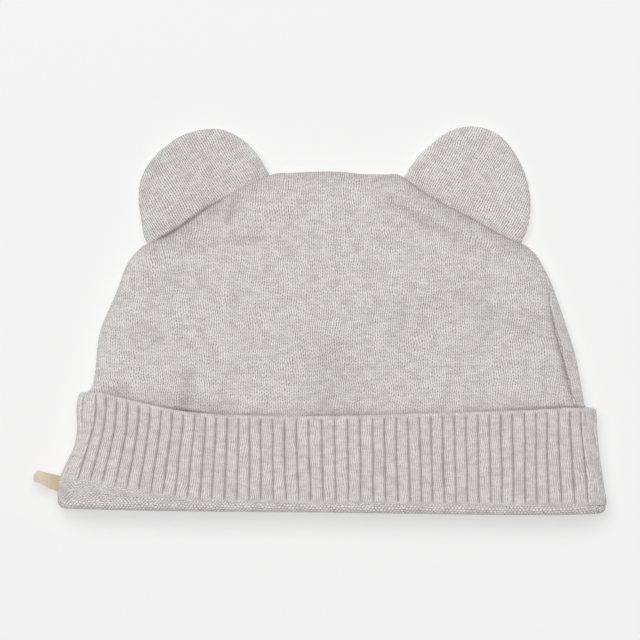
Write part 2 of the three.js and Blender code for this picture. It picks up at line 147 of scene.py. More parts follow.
# %% The outlines with their corners
LEFT_FLARE = dict(out=1.1, ends=(26, 38, 41, 43))
RIGHT_FLARE = dict(out=0.6, ends=(28, 34, 34.8, 37))
RIGHT_FOOT = dict(out=0.9, up=4.5, reach=3)
TOP_BULGES = [
    dict(across=-18.5, wide=4, up=0.7),
    dict(across=11, wide=5, up=-0.4),
    dict(across=22.8, wide=3.5, up=1.2),
]
CUFF_CORNERS = [
    dict(side=-1, starts=71, full=78, up=0.9),
    dict(side=1, starts=73, full=81, up=0.9),
    dict(side=1, starts=79, full=84.5, up=1.5),
]


def smooth(low, high, value):
    """0 below low, 1 above high, and an easy curve between them."""
    share = np.clip((value - low) / (high - low), 0, 1)
    return share * share * (3 - 2 * share)


def stretch(ends, value):
    """1 along a stretch and 0 outside it, eased over its first two and last two places."""
    starts, full, fades, over = ends
    return smooth(starts, full, value) * (1 - smooth(fades, over, value))


def near(distance, reach):
    """1 at no distance, and down to a third of that at reach."""
    return np.exp(-((distance / reach) ** 2))


def left_edge(y):
    """The left outline, which flares at the cuff's top corner."""
    return np.interp(y, UP, SIDE_LEFT) - LEFT_FLARE["out"] * stretch(LEFT_FLARE["ends"], y - HEM)


def right_edge(y):
    """The right outline, which flares a little at both of the cuff's corners."""
    top_corner = RIGHT_FLARE["out"] * stretch(RIGHT_FLARE["ends"], y - HEM)
    foot = RIGHT_FOOT["out"] * near(y - HEM - RIGHT_FOOT["up"], RIGHT_FOOT["reach"])
    return np.interp(y, UP, SIDE_RIGHT) + top_corner + foot


def top_edge(x):
    """The seam over the top, with its corners by the ears."""
    edge = np.interp(x, ACROSS, TOP_EDGE)
    for bulge in TOP_BULGES:
        edge = edge + bulge["up"] * near(x - MIDDLE - bulge["across"], bulge["wide"])
    return edge


def cuff_edge(x):
    """The cuff's free edge, whose two corners stand up a little."""
    edge = np.interp(x, BAND_ACROSS, CUFF_EDGE)
    for corner in CUFF_CORNERS:
        edge = edge + corner["up"] * smooth(corner["starts"], corner["full"], corner["side"] * (x - MIDDLE))
    return edge


def band_foot(x):
    """The foot of the ribbed band, just above the hem."""
    return np.interp(x, BAND_ACROSS, BAND_FOOT)


def hem_line(x):
    """The lowest line of the hat, where the cloth turns."""
    return np.interp(x, BAND_ACROSS, HEM_LINE)


print(f"cuff edge {cuff_edge(MIDDLE) - HEM:.1f} mm up, hat {right_edge(HEM) - left_edge(HEM):.0f} mm wide")

# %% [markdown]
# ## The cross-section of the lying hat
# A soft tube laid on a table is two nearly flat layers that round into each other at the sides.
# The front rounds over slowly and the back, pressed on the table, rounds under in a few
# millimetres. One function gives any point of that skin: how far round an edge it is, how high
# up the hat, and how far it stands out from the crown's own surface. The wall of the crown, the
# turn at the hem and the cuff are then the same skin at different distances out.

# %% The skin of the hat
WALL = 2.0
RIB_WALL = 2.4
LAYER_GAP = 0.55
CUFF_OUT = LAYER_GAP + RIB_WALL
QUARTER = math.pi / 2
LEVEL = 42                  # up from the hem: the rows of knitting are level as far as here
CLIMB_COLUMNS = 10          # columns of the back panel that climb the right side to the seam

# How far the front and the back round over at the sides, by the mouth and in the crown.
FRONT_ROUND = dict(at_mouth=9.0, at_crown=19.0)
BACK_ROUND = dict(at_mouth=7.0, at_crown=5.0)
# How the cloth rolls down to the top seam: shares of a quarter-round, each with its reach.
EASY_ROLL = [(0.45, 2.6), (0.55, 20.0)]
STEEP_ROLL = [(0.72, 4.0), (0.28, 20.0)]
BACK_ROLL = [(1.0, 5.0)]

SEAM_OPENING = 0.04         # half the gap between the panels, and what the ears and label add
EAR_OPENING = 1.3
EAR_SLOTS = [(-62.8, -59.4, -21.6, -18.4), (24.2, 27.6, 62, 65.6)]
LABEL_OPENING = 1.1
LABEL_SLOT = (4.6, 7.4, 13.2, 16)
STEEP_BY_LEFT_EAR = (-61, -55, -42, -36)
MERGED_WITH_LEFT_EAR = (-39, -33, -27, -20)
STEEP_BY_RIGHT_EAR = 0.3
SEAM_VALLEY = dict(deep=1.1, reach=1.5, ends=(36, 46, 56, 76))
CUFF_DIP = dict(deep=0.7, reach=2.4)    # the crown sinks where the cuff's edge presses on it
WAVES = 0.28
MERGED_LIFT = 0.3

# Soft folds in the front: a line from one place to another across and up from the hem's middle,
# how far it reaches, and how deep it is.
FOLDS = [
    dict(x0=20, y0=103, x1=38, y1=94.0, reach=1.5, deep=1.4),
    dict(x0=41, y0=91.8, x1=52, y1=85.5, reach=2.2, deep=0.7),
    dict(x0=-50, y0=87.5, x1=-24, y1=91.5, reach=1.8, deep=0.8),
    dict(x0=-24, y0=91.5, x1=-12, y1=102, reach=4.0, deep=0.4),
    dict(x0=-34, y0=98, x1=-32, y1=103, reach=1.8, deep=1.2),
    dict(x0=-48, y0=34, x1=-47.2, y1=45, reach=1.6, deep=1.3),
    dict(x0=-54, y0=38, x1=-36, y1=34.5, reach=2.4, deep=0.6),
    dict(x0=-75, y0=41, x1=-68, y1=40, reach=2.2, deep=0.5),
    dict(x0=0, y0=36, x1=2, y1=50, reach=8.0, deep=0.8),
    dict(x0=-66, y0=74, x1=-54, y1=78, reach=3.5, deep=0.7),
    dict(x0=-68, y0=59, x1=-58, y1=57, reach=3.0, deep=0.6),
    dict(x0=52, y0=66, x1=72, y1=59, reach=4.0, deep=0.6),
    dict(x0=24, y0=66, x1=46, y1=72, reach=6.0, deep=0.5),
]


def fold_depth(x, y):
    """How far the folds let the front down at a place."""
    depth = np.zeros_like(x)
    for fold in FOLDS:
        start = np.array([MIDDLE + fold["x0"], HEM + fold["y0"]])
        along = np.array([fold["x1"] - fold["x0"], fold["y1"] - fold["y0"]], float)
        share = ((x - start[0]) * along[0] + (y - start[1]) * along[1]) / (along @ along)
        share = np.clip(share, 0, 1)
        away = np.hypot(x - start[0] - share * along[0], y - start[1] - share * along[1])
        depth += fold["deep"] * near(away, fold["reach"])
    return depth


def ripple(x, y, seed, longest=34.0, shortest=9.0):
    """An uneven relief of about -1 to 1, as in cloth that was smoothed by hand."""
    chance = np.random.default_rng(seed)
    height = np.zeros_like(x)
    for wave_number in range(14):
        length = longest * (shortest / longest) ** (wave_number / 13)
        heading = chance.uniform(0, math.pi)
        start = chance.uniform(0, 2 * math.pi)
        phase = (x * math.cos(heading) + y * math.sin(heading)) * 2 * math.pi / length
        height += np.sin(phase + start) * (length / longest) ** 0.9
    return height / 2.6


def rise(distance, reach):
    """Quarter-round rise from 0 at an edge to 1 at reach."""
    share = np.clip(1 - distance / reach, 0, 1)
    return np.sqrt(1 - share * share)


def roll(inset, out, parts):
    """How high the cloth has risen this far in from the top seam, as a share."""
    return sum(share * rise(inset, reach + out) for share, reach in parts)


def from_cuff(y, at_mouth, at_crown):
    """A size that changes between the cuff and the crown."""
    return at_mouth + (at_crown - at_mouth) * smooth(HEM + LEVEL, HEM + 60, y)


def seam_opening(x, y):
    """Half the gap between the panels: wider where the seam holds an ear or the label."""
    ears = sum(stretch(slot, x - MIDDLE) for slot in EAR_SLOTS) * smooth(78, 88, y - HEM)
    label = stretch(LABEL_SLOT, y - HEM) * smooth(78, 80, MIDDLE - x)
    return SEAM_OPENING + EAR_OPENING * ears + LABEL_OPENING * label


def ear_seam(x):
    """Where the crown rolls over steeply by an ear, and where it runs on into the left one."""
    steep = stretch(STEEP_BY_LEFT_EAR, x - MIDDLE) + STEEP_BY_RIGHT_EAR * smooth(22, 30, x - MIDDLE)
    return steep, stretch(MERGED_WITH_LEFT_EAR, x - MIDDLE)


def seam_angle(side, reach):
    """How far round the right edge the seam lies, up the front."""
    inset = np.interp(side, UP, SIDE_RIGHT) - np.interp(side, UP, SEAM_RIGHT)
    inset = inset * (1 - smooth(SHOULDER - 3, SHOULDER, side))
    return np.arccos(np.clip(1 - inset / reach, -1, 1))


def skin(face, columns, row, out):
    """One row of points of the skin. A column has an edge (-1, 0 or 1), a turn round that edge
    or a share of the flat between the edges, and the side of the seam whose curve it follows."""
    fronts = columns["front"]
    side = row["side"]
    reach_front = from_cuff(side, **FRONT_ROUND)
    reach_back = from_cuff(side, **BACK_ROUND)
    reach = np.where(fronts, reach_front, reach_back)
    flat_left = left_edge(side) + reach
    flat_right = right_edge(side) - reach
    seam = seam_angle(side, reach_front)
    turn = np.where(columns["at_seam"], seam + (columns["rest"] - seam) * columns["share"], columns["turn"])
    edge = columns["edge"]
    beside_seam = np.where(edge > 0, near(np.abs(turn - seam) * reach, SEAM_VALLEY["reach"]), 0)
    valley = SEAM_VALLEY["deep"] * stretch(SEAM_VALLEY["ends"], side - HEM) * beside_seam
    x = flat_left + (flat_right - flat_left) * columns["across"]
    x = np.where(edge < 0, flat_left - (reach + out) * np.cos(turn), x)
    x = np.where(edge > 0, flat_right + (reach + out) * np.cos(turn), x)
    y = row["up"](x)
    lift = np.sin(np.where(edge == 0, QUARTER, turn))
    if row["inset"] is not None:
        inset = row["inset"]
        steep, merged = ear_seam(x)
        rolled = roll(inset, out, EASY_ROLL)
        rolled = rolled + (roll(inset, out, STEEP_ROLL) - rolled) * steep
        rolled = rolled + (1 - rolled) * MERGED_LIFT * merged
        lift = lift * np.where(fronts, rolled, roll(inset, out, BACK_ROLL))
    opening = seam_opening(x, y)
    seam_z = np.interp(side, UP, SEAM_Z)
    dip = fold_depth(x, y) + CUFF_DIP["deep"] * near(y - cuff_edge(x), CUFF_DIP["reach"])
    top = np.interp(y, UP, CROWN_TOP) - dip * smooth(0.3, 0.9, lift)
    top = top + WAVES * ripple(x, y, 4) * smooth(30, 50, y - HEM) * smooth(0.3, 1.0, lift)
    start = seam_z + (opening if face == "front" else -opening)
    front_z = start + (top + out - start) * lift - valley
    under = np.interp(side, UP, FLOOR)
    back_z = start + (under - out - start) * lift
    return np.stack([x, y + np.zeros_like(x), np.where(fronts, front_z, back_z)], axis=1)


def columns_of(face, flat_steps, turn_steps):
    """The columns of a panel from its left seam over the flat to its right seam."""
    turns = QUARTER * np.linspace(0, 1, turn_steps) ** 1.6
    made = [dict(edge=-1, turn=turn) for turn in turns[:-1]]
    made += [dict(across=share) for share in np.linspace(0, 1, flat_steps)]
    over_right = dict(edge=1, across=1)
    if face == "front":
        made += [dict(over_right, at_seam=True, rest=QUARTER, share=turn / QUARTER) for turn in turns[-2::-1]]
    else:
        climb = np.linspace(1, 0, CLIMB_COLUMNS)
        made += [dict(over_right, turn=turn, share=1) for turn in turns[-2:0:-1]]
        made += [dict(over_right, at_seam=True, share=share, front=True) for share in climb]
    plain = dict(edge=0, turn=QUARTER, across=0.0, at_seam=False, rest=0.0, share=0.0, front=face == "front")
    return {key: np.array([column.get(key, value) for column in made]) for key, value in plain.items()}


print(f"walls of {WALL} and {RIB_WALL} mm, {len(FOLDS)} soft folds in the front")

# %% [markdown]
# ## From points to cloth
# A sheet of knitting has a face side, a reverse side and soft rolled edges. Two grids of points,
# one for each side, share their outermost points, so the sheet closes all round. The wall thins
# to nothing over the last millimetre, which is what makes the edge look rolled and not cut.
# The map that the knit follows is laid along the cloth: one unit across is one wale (a column
# of stitches) and one unit up is one course (a row of them).

# %% Turn two grids into one closed sheet
WALE = 1.46
COURSE = 1.06


def rim_share(grid, edges, round_over):
    """0 on the named edges of a grid, growing to 1 over a rounded distance along the cloth."""
    step_across = np.linalg.norm(np.diff(grid, axis=1), axis=2)
    step_up = np.linalg.norm(np.diff(grid, axis=0), axis=2)
    from_left = np.pad(np.cumsum(step_across, axis=1), ((0, 0), (1, 0)))
    from_first = np.pad(np.cumsum(step_up, axis=0), ((1, 0), (0, 0)))
    far = {
        "left": from_left,
        "right": from_left[:, -1:] - from_left,
        "first": from_first,
        "last": from_first[-1:] - from_first,
    }
    nearest = np.minimum.reduce([far[edge] for edge in edges])
    return rise(nearest, round_over)


def closed_sheet(name, face_side, reverse_side, face_map, reverse_map, materials, reverse_slot=1):
    """One closed mesh between two grids whose border points are the same."""
    rows, columns = face_side.shape[:2]
    count = rows * columns
    index = np.arange(count).reshape(rows, columns)
    other = index + count
    border = np.zeros((rows, columns), bool)
    border[0], border[-1], border[:, 0], border[:, -1] = True, True, True, True
    other = np.where(border, index, other)

    def quads(at):
        return np.stack([at[:-1, :-1], at[:-1, 1:], at[1:, 1:], at[1:, :-1]], axis=2).reshape(-1, 4)

    faces = np.vstack([quads(index), quads(other)[:, ::-1]])
    points = np.vstack([face_side.reshape(-1, 3), reverse_side.reshape(-1, 3)]) * MM
    used = np.zeros(len(points), bool)
    used[faces.ravel()] = True
    renumber = np.cumsum(used) - 1
    mesh = bpy.data.meshes.new(name)
    mesh.from_pydata(points[used].tolist(), [], renumber[faces].tolist())
    uv = mesh.uv_layers.new(name="stitches")
    corners = np.vstack([
        face_map.reshape(-1, 2)[quads(index).ravel()],
        reverse_map.reshape(-1, 2)[quads(index)[:, ::-1].ravel()],
    ])
    uv.data.foreach_set("uv", corners.ravel())
    piece = bpy.data.objects.new(name, mesh)
    bpy.context.scene.collection.objects.link(piece)
    for material in materials:
        mesh.materials.append(material)
    slots = np.zeros(len(faces), int)
    slots[len(faces) // 2:] = reverse_slot
    mesh.polygons.foreach_set("material_index", slots)
    bpy.ops.object.select_all(action="DESELECT")
    piece.select_set(True)
    bpy.context.view_layer.objects.active = piece
    bpy.ops.object.mode_set(mode="EDIT")
    bpy.ops.mesh.select_all(action="SELECT")
    bpy.ops.mesh.remove_doubles(threshold=1e-6)
    bpy.ops.mesh.normals_make_consistent(inside=False)
    bpy.ops.object.mode_set(mode="OBJECT")
    bpy.ops.object.shade_smooth()
    print(f"{name}: {len(mesh.polygons)} faces")
    return piece


def path_length(points):
    """How long a row of points is."""
    return np.linalg.norm(np.diff(points, axis=0), axis=1).sum()


def cloth_area(grid):
    """The area of a grid of points, in square metres."""
    one = grid[1:, 1:] - grid[:-1, :-1]
    two = grid[1:, :-1] - grid[:-1, 1:]
    return float(np.linalg.norm(np.cross(one, two), axis=2).sum() / 2 * MM * MM)


def declare(piece, node, slot, area, wide, long, held, rests_on):
    """Attaches a piece to the root body, hides the solid it stands for, and prints its size and its cloth's
    area.
    """
    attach(piece, "root")
    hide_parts(node)
    print(f"{piece.name}: {wide:.0f} by {long:.0f} mm, {(area or 0) * 1e4:.0f} square cm")


# %% [markdown]
# ## How yarn and stitches are drawn
# At this size the knit is finer than any mesh should be, so it is drawn by the material, in
# groups of nodes that the jersey, the ribs and the ears share. On the face side each stitch is a
# small V: two rounded legs that lean apart, with a dark pinhole where they meet the next wale.
# On the reverse the same loops show as short bumps in brick order. The groups only put out
# heights and masks; each material mixes its own colours from them.

# %% Helpers to wire nodes
def new_group(name, inputs, outputs):
    """An empty node group with named sockets, and its two ends."""
    tree = bpy.data.node_groups.new(name, "ShaderNodeTree")
    for socket, kind, value in inputs:
        made = tree.interface.new_socket(socket, in_out="INPUT", socket_type=kind)
        if value is not None:
            made.default_value = value
    for socket, kind in outputs:
        tree.interface.new_socket(socket, in_out="OUTPUT", socket_type=kind)
    return tree, tree.nodes.new("NodeGroupInput"), tree.nodes.new("NodeGroupOutput")


def feed(tree, socket, value):
    """Links a socket, or sets its number or colour."""
    if isinstance(value, bpy.types.NodeSocket):
        tree.links.new(value, socket)
    else:
        socket.default_value = value


def calc(tree, operation, *values):
    """One math node; its result."""
    node = tree.nodes.new("ShaderNodeMath")
    node.operation = operation
    for socket, value in zip(node.inputs, values):
        feed(tree, socket, value)
    return node.outputs[0]


def blend(tree, share, one, two):
    """A colour between two colours."""
    node = tree.nodes.new("ShaderNodeMix")
    node.data_type = "RGBA"
    feed(tree, node.inputs["Factor"], share)
    feed(tree, node.inputs[6], one)
    feed(tree, node.inputs[7], two)
    return node.outputs[2]


def number_between(tree, share, one, two):
    node = tree.nodes.new("ShaderNodeMix")
    feed(tree, node.inputs["Factor"], share)
    feed(tree, node.inputs[2], one)
    feed(tree, node.inputs[3], two)
    return node.outputs[0]


def between(tree, value, low, high, to_low=0.0, to_high=1.0):
    """A value mapped from one range to another, with eased ends."""
    node = tree.nodes.new("ShaderNodeMapRange")
    node.interpolation_type = "SMOOTHSTEP"
    for socket, number in zip(node.inputs, (value, low, high, to_low, to_high)):
        feed(tree, socket, number)
    return node.outputs[0]


def join(tree, x, y, z=0.0):
    node = tree.nodes.new("ShaderNodeCombineXYZ")
    for socket, value in zip(node.inputs, (x, y, z)):
        feed(tree, socket, value)
    return node.outputs[0]


def split(tree, vector):
    node = tree.nodes.new("ShaderNodeSeparateXYZ")
    tree.links.new(vector, node.inputs[0])
    return node.outputs[0], node.outputs[1]


def noise(tree, vector, scale, detail=2.0, roughness=0.5):
    node = tree.nodes.new("ShaderNodeTexNoise")
    feed(tree, node.inputs["Vector"], vector)
    feed(tree, node.inputs["Scale"], scale)
    feed(tree, node.inputs["Detail"], detail)
    feed(tree, node.inputs["Roughness"], roughness)
    return node.outputs["Fac"]


def chance_of(tree, vector):
    """A random number for each place, the same over the whole place."""
    node = tree.nodes.new("ShaderNodeTexWhiteNoise")
    node.noise_dimensions = "2D"
    tree.links.new(vector, node.inputs["Vector"])
    return node.outputs["Value"]


def mask(tree, name):
    """A number that was written on the mesh."""
    node = tree.nodes.new("ShaderNodeAttribute")
    node.attribute_name = name
    return node.outputs["Fac"]


def stitch_map_of(tree):
    node = tree.nodes.new("ShaderNodeUVMap")
    node.uv_map = "stitches"
    return node.outputs["UV"]


def swing(tree, value, amount, middle):
    """A noise or a chance turned into a number that swings about a middle."""
    return calc(tree, "MULTIPLY_ADD", calc(tree, "SUBTRACT", value, 0.5), amount, middle)


def signed(tree, value):
    """-1 to 1 over each repeat of a value."""
    return calc(tree, "MULTIPLY_ADD", calc(tree, "FRACT", value), 2.0, -1.0)


def off_middle_of(tree, value):
    """0 in the middle of each repeat of a value, and 1 at both of its ends."""
    return calc(tree, "ABSOLUTE", signed(tree, value))


def dome(tree, square):
    """The height of a round strand, from the square of how far off its middle a place is."""
    return calc(tree, "SQRT", calc(tree, "MAXIMUM", calc(tree, "SUBTRACT", 1.0, square), 0.0))


LOOP_RESULTS = [("Height", "NodeSocketFloat"), ("Gap", "NodeSocketFloat"), ("Stitch", "NodeSocketFloat")]
print("every stitch group puts out:", ", ".join(name for name, kind in LOOP_RESULTS))

# %% [markdown]
# The face side is drawn first. A slow noise bends the grid of stitches a little, as no knit is
# quite straight. Each half wale is one leg of a V: a round strand, cut into stitches by a line
# that leans up to its neighbour. The dark pinholes are where the legs' sides and ends meet.

# %% The face of the jersey: small leaning V stitches
def knit_face():
    tree, ends, result = new_group(
        "knit_face",
        [
            ("Stitches", "NodeSocketVector", None),
            ("Lean", "NodeSocketFloat", 0.5),
            ("Dots", "NodeSocketFloat", 0.85),
        ],
        LOOP_RESULTS,
    )
    wobble = calc(tree, "SUBTRACT", noise(tree, ends.outputs["Stitches"], 0.45), 0.5)
    drift = calc(tree, "SUBTRACT", noise(tree, ends.outputs["Stitches"], 0.07, 1.0), 0.5)
    wale, course = split(tree, ends.outputs["Stitches"])
    wale = calc(tree, "MULTIPLY_ADD", drift, 2.6, calc(tree, "MULTIPLY_ADD", wobble, 0.7, wale))
    course = calc(tree, "MULTIPLY_ADD", drift, -4.0, calc(tree, "MULTIPLY_ADD", wobble, 1.8, course))
    off_middle = off_middle_of(tree, wale)
    leaning = calc(tree, "SUBTRACT", course, calc(tree, "MULTIPLY", off_middle, ends.outputs["Lean"]))
    half_wales = calc(tree, "MULTIPLY", wale, 2.0)
    beside = off_middle_of(tree, half_wales)
    end = off_middle_of(tree, leaning)
    across = dome(tree, calc(tree, "MULTIPLY", beside, beside))
    along = dome(tree, calc(tree, "MULTIPLY", end, end))
    height = calc(tree, "MULTIPLY", across, calc(tree, "MULTIPLY_ADD", along, 0.45, 0.55))
    line = calc(tree, "POWER", beside, 1.3)
    ends_open = calc(tree, "MULTIPLY", calc(tree, "POWER", end, 1.2), ends.outputs["Dots"])
    dot = calc(tree, "ADD", calc(tree, "SUBTRACT", 1.0, ends.outputs["Dots"]), ends_open)
    wider = calc(tree, "MULTIPLY_ADD", off_middle, 0.25, 0.75)
    gap = calc(tree, "MULTIPLY", calc(tree, "MULTIPLY", line, dot), wider)
    whole_wale = calc(tree, "FLOOR", wale)
    column = join(tree, calc(tree, "MULTIPLY", whole_wale, 0.71), calc(tree, "MULTIPLY", course, 0.05))
    uneven = between(tree, noise(tree, column, 1.0, 3.0, 0.6), 0.3, 0.7, 0.8, 1.15)
    dot_place = join(tree, calc(tree, "ROUND", half_wales), calc(tree, "ROUND", leaning))
    dot_chance = calc(tree, "MULTIPLY_ADD", chance_of(tree, dot_place), 0.6, 0.7)
    gap = calc(tree, "MULTIPLY", gap, calc(tree, "MULTIPLY", uneven, dot_chance))
    stitch = chance_of(tree, join(tree, whole_wale, calc(tree, "FLOOR", leaning)))
    tree.links.new(height, result.inputs["Height"])
    tree.links.new(gap, result.inputs["Gap"])
    tree.links.new(stitch, result.inputs["Stitch"])
    return tree


KNIT_FACE = knit_face()
print("group:", KNIT_FACE.name)

# %% [markdown]
# The reverse shows where the crown's hem turns outwards and on the lowest strip of the cuff. Its
# loops are short round bumps, and each row is shifted by half a bump, like bricks in a wall.

# %% The reverse of the jersey: bumps in brick order
def knit_reverse():
    tree, ends, result = new_group(
        "knit_reverse",
        [("Stitches", "NodeSocketVector", None)],
        LOOP_RESULTS,
    )
    wale, course = split(tree, ends.outputs["Stitches"])
    wobble = calc(tree, "SUBTRACT", noise(tree, ends.outputs["Stitches"], 0.8, 3.0), 0.5)
    wale = calc(tree, "MULTIPLY", calc(tree, "MULTIPLY_ADD", wobble, 0.8, wale), 1.3)
    rows = calc(tree, "MULTIPLY", calc(tree, "MULTIPLY_ADD", wobble, -0.9, course), 1.9)
    half_row = calc(tree, "FLOOR", rows)
    shifted = calc(tree, "MULTIPLY_ADD", calc(tree, "FLOORED_MODULO", half_row, 2.0), 0.5, wale)
    x = signed(tree, shifted)
    y = signed(tree, rows)
    flattened = calc(tree, "MULTIPLY", calc(tree, "MULTIPLY", y, y), 0.8)
    height = dome(tree, calc(tree, "MULTIPLY_ADD", x, x, flattened))
    gap = calc(tree, "POWER", calc(tree, "SUBTRACT", 1.0, height), 1.6)
    stitch = chance_of(tree, join(tree, calc(tree, "FLOOR", shifted), half_row))
    gap = calc(tree, "MULTIPLY", gap, calc(tree, "MULTIPLY_ADD", stitch, 1.0, 0.5))
    tree.links.new(height, result.inputs["Height"])
    tree.links.new(gap, result.inputs["Gap"])
    tree.links.new(stitch, result.inputs["Stitch"])
    return tree


KNIT_REVERSE = knit_reverse()
print("group:", KNIT_REVERSE.name)

# %% [markdown]
# Heather yarn is spun from pale and grey fibres, so its shade drifts along each course: short
# soft dashes lie across the fabric. A stretched noise gives the dashes, a wide one gives slow
# drift, and a fine one stands for single fibres and lint.

# %% Heather shading and fibres
def heather():
    tree, ends, result = new_group(
        "heather_yarn",
        [("Stitches", "NodeSocketVector", None), ("Stitch", "NodeSocketFloat", 0.5)],
        [("Shade", "NodeSocketFloat"), ("Fibres", "NodeSocketFloat")],
    )
    wale, course = split(tree, ends.outputs["Stitches"])
    x = calc(tree, "MULTIPLY", wale, WALE)
    y = calc(tree, "MULTIPLY", course, COURSE)
    dashes = noise(tree, join(tree, calc(tree, "MULTIPLY", x, 0.45), y), 0.6, 3.0, 0.6)
    drift = noise(tree, join(tree, x, calc(tree, "MULTIPLY", y, 1.5)), 0.14, 3.0, 0.6)
    fibres = noise(tree, join(tree, x, y), 4.5, 3.0, 0.7)
    shade = swing(tree, dashes, 1.9, 0.5)
    shade = swing(tree, drift, 0.8, shade)
    shade = swing(tree, ends.outputs["Stitch"], 0.2, shade)
    tree.links.new(shade, result.inputs["Shade"])
    tree.links.new(fibres, result.inputs["Fibres"])
    return tree


HEATHER = heather()
print("group:", HEATHER.name)

# %% [markdown]
# Each fabric is one material. Colours are mixed from the shade of the yarn, made paler on the crest
# of each strand as a painted highlight, then darkened where the stitch group says there is a gap, as
# painted shade, because light gets lost between strands. Bump raises the strands by a fraction of a
# millimetre, and a little sheen stands for the fluff of cotton.

# %% Fabric materials
def from_srgb(red, green, blue):
    """A colour as given on a screen, as the linear colour that a shader wants."""
    linear = [((c / 255 + 0.055) / 1.055) ** 2.4 for c in (red, green, blue)]
    return (*linear, 1.0)


PALE_YARN = from_srgb(255, 251, 247)
GREY_YARN = from_srgb(229, 223, 221)
GAP_SHADE = from_srgb(100, 92, 89)
GROOVE_SHADE = from_srgb(126, 120, 117)
CREASE_SHADE = from_srgb(118, 110, 107)
GROOVE_DARK = 0.66
HEM_GAP_DEPTH = 0.34
RIB_WALES = 3               # a rib is two raised wales and the groove's one


def use_group(tree, group, **values):
    """A node group with its inputs fed."""
    node = tree.nodes.new("ShaderNodeGroup")
    node.node_tree = group
    for socket, value in values.items():
        feed(tree, node.inputs[socket], value)
    return node


def raised(tree, height, distance, strength, base=None):
    """A bump of a real distance; its normal."""
    node = tree.nodes.new("ShaderNodeBump")
    node.inputs["Distance"].default_value = distance * MM
    node.inputs["Strength"].default_value = strength
    tree.links.new(height, node.inputs["Height"])
    if base is not None:
        tree.links.new(base, node.inputs["Normal"])
    return node.outputs["Normal"]


def new_material(name):
    """A material with its node tree and its shader."""
    material = bpy.data.materials.new(name)
    material.use_nodes = True
    return material, material.node_tree, material.node_tree.nodes["Principled BSDF"]


def fabric(name, stitch_group, gap_depth, relief, dots=None, grooves=False):
    """A knitted fabric from one of the stitch groups, with its relief in millimetres. A fabric
    with grooves is rib, which shows the reverse where the mesh says it is hem."""
    material, tree, shader = new_material(name)
    stitches = stitch_map_of(tree)
    options = {"Stitches": stitches}
    if dots is not None:
        options["Dots"] = dots
    loops = use_group(tree, stitch_group, **options)
    height = loops.outputs["Height"]
    gap = calc(tree, "MULTIPLY", loops.outputs["Gap"], gap_depth)
    if grooves:
        purl = use_group(tree, KNIT_REVERSE, Stitches=stitches)
        purl_gap = calc(tree, "MULTIPLY", purl.outputs["Gap"], HEM_GAP_DEPTH)
        height = number_between(tree, mask(tree, "hem"), height, purl.outputs["Height"])
        gap = number_between(tree, mask(tree, "hem"), gap, purl_gap)
    yarn = use_group(tree, HEATHER, Stitches=stitches, Stitch=loops.outputs["Stitch"])
    # Painted highlight: the yarn is made paler on the crest of each strand.
    crest_highlight = calc(tree, "SUBTRACT", between(tree, height, 0.45, 0.95), 0.6)
    shade = between(tree, calc(tree, "MULTIPLY_ADD", crest_highlight, 0.32, yarn.outputs["Shade"]), 0.05, 0.95)
    colour = blend(tree, shade, GREY_YARN, PALE_YARN)
    # Painted shade: the yarn is darkened in the gaps between strands.
    depth = calc(tree, "MAXIMUM", swing(tree, yarn.outputs["Fibres"], 0.5, gap), 0.0)
    colour = blend(tree, depth, colour, GAP_SHADE)
    if grooves:
        wale, _ = split(tree, stitches)
        ribs = calc(tree, "DIVIDE", calc(tree, "SUBTRACT", wale, 0.5), RIB_WALES)
        # Painted shade in the rib's grooves, on top of their real relief.
        groove = between(tree, off_middle_of(tree, ribs), 0.78, 0.97, 0.0, GROOVE_DARK)
        groove = calc(tree, "MULTIPLY", groove, mask(tree, "groove"))
        colour = blend(tree, groove, colour, GROOVE_SHADE)
    # Painted shade from the crease mask: creases, folds, seams, the cuff's free edge, and an even darkening
    # of the left ear.
    colour = blend(tree, mask(tree, "crease"), colour, CREASE_SHADE)
    tree.links.new(colour, shader.inputs["Base Color"])
    rough = between(tree, yarn.outputs["Fibres"], 0.3, 0.7, 0.86, 1.0)
    tree.links.new(rough, shader.inputs["Roughness"])
    shader.inputs["Specular IOR Level"].default_value = 0.2
    shader.inputs["Sheen Weight"].default_value = 0.25
    shader.inputs["Sheen Roughness"].default_value = 0.6
    normal = raised(tree, yarn.outputs["Fibres"], 0.12, 0.35)
    normal = raised(tree, height, relief, 0.8, normal)
    tree.links.new(normal, shader.inputs["Normal"])
    return material


JERSEY = fabric("grey_jersey_face", KNIT_FACE, 0.62, 0.26, dots=0.8)
JERSEY_REVERSE = fabric("grey_jersey_reverse", KNIT_REVERSE, 0.5, 0.2)
RIB = fabric("grey_rib", KNIT_FACE, 0.4, 0.24, dots=0.32, grooves=True)
print("fabrics:", JERSEY.name, JERSEY_REVERSE.name, RIB.name)

# %% [markdown]
# ## The two crown panels
# Each panel is one sheet from the seam at the top down to the hem, where it turns outwards and
# up again for a few millimetres, so its reverse shows there as a strip of bumps. Its rows are
# close together near the top edge and at the turn, where the cloth bends most.

# %% Rows of a crown panel
def level_row(up):
    """A row that runs level, or follows the hem's line where it is close to it."""
    ease = 1 - smooth(2.4, 8, up)
    return dict(
        side=HEM + up,
        up=lambda x: HEM + up + (hem_line(x) - HEM) * ease,
        inset=None,
    )


def towards_top(x, side):
    """Where the column through x meets the top edge."""
    share = (x - left_edge(side)) / (right_edge(side) - left_edge(side))
    return left_edge(SHOULDER) + (right_edge(SHOULDER) - left_edge(SHOULDER)) * np.clip(share, 0, 1)


DEEPEST = 17.0              # as far in from the top edge as rows follow it


def crown_row(share):
    """A row between the level ones and the ones that follow the top edge."""
    low = HEM + LEVEL
    side = low + (SHOULDER - DEEPEST - low) * share
    return dict(
        side=side,
        up=lambda x: low + (top_edge(towards_top(x, side)) - DEEPEST - low) * share,
        inset=None,
    )


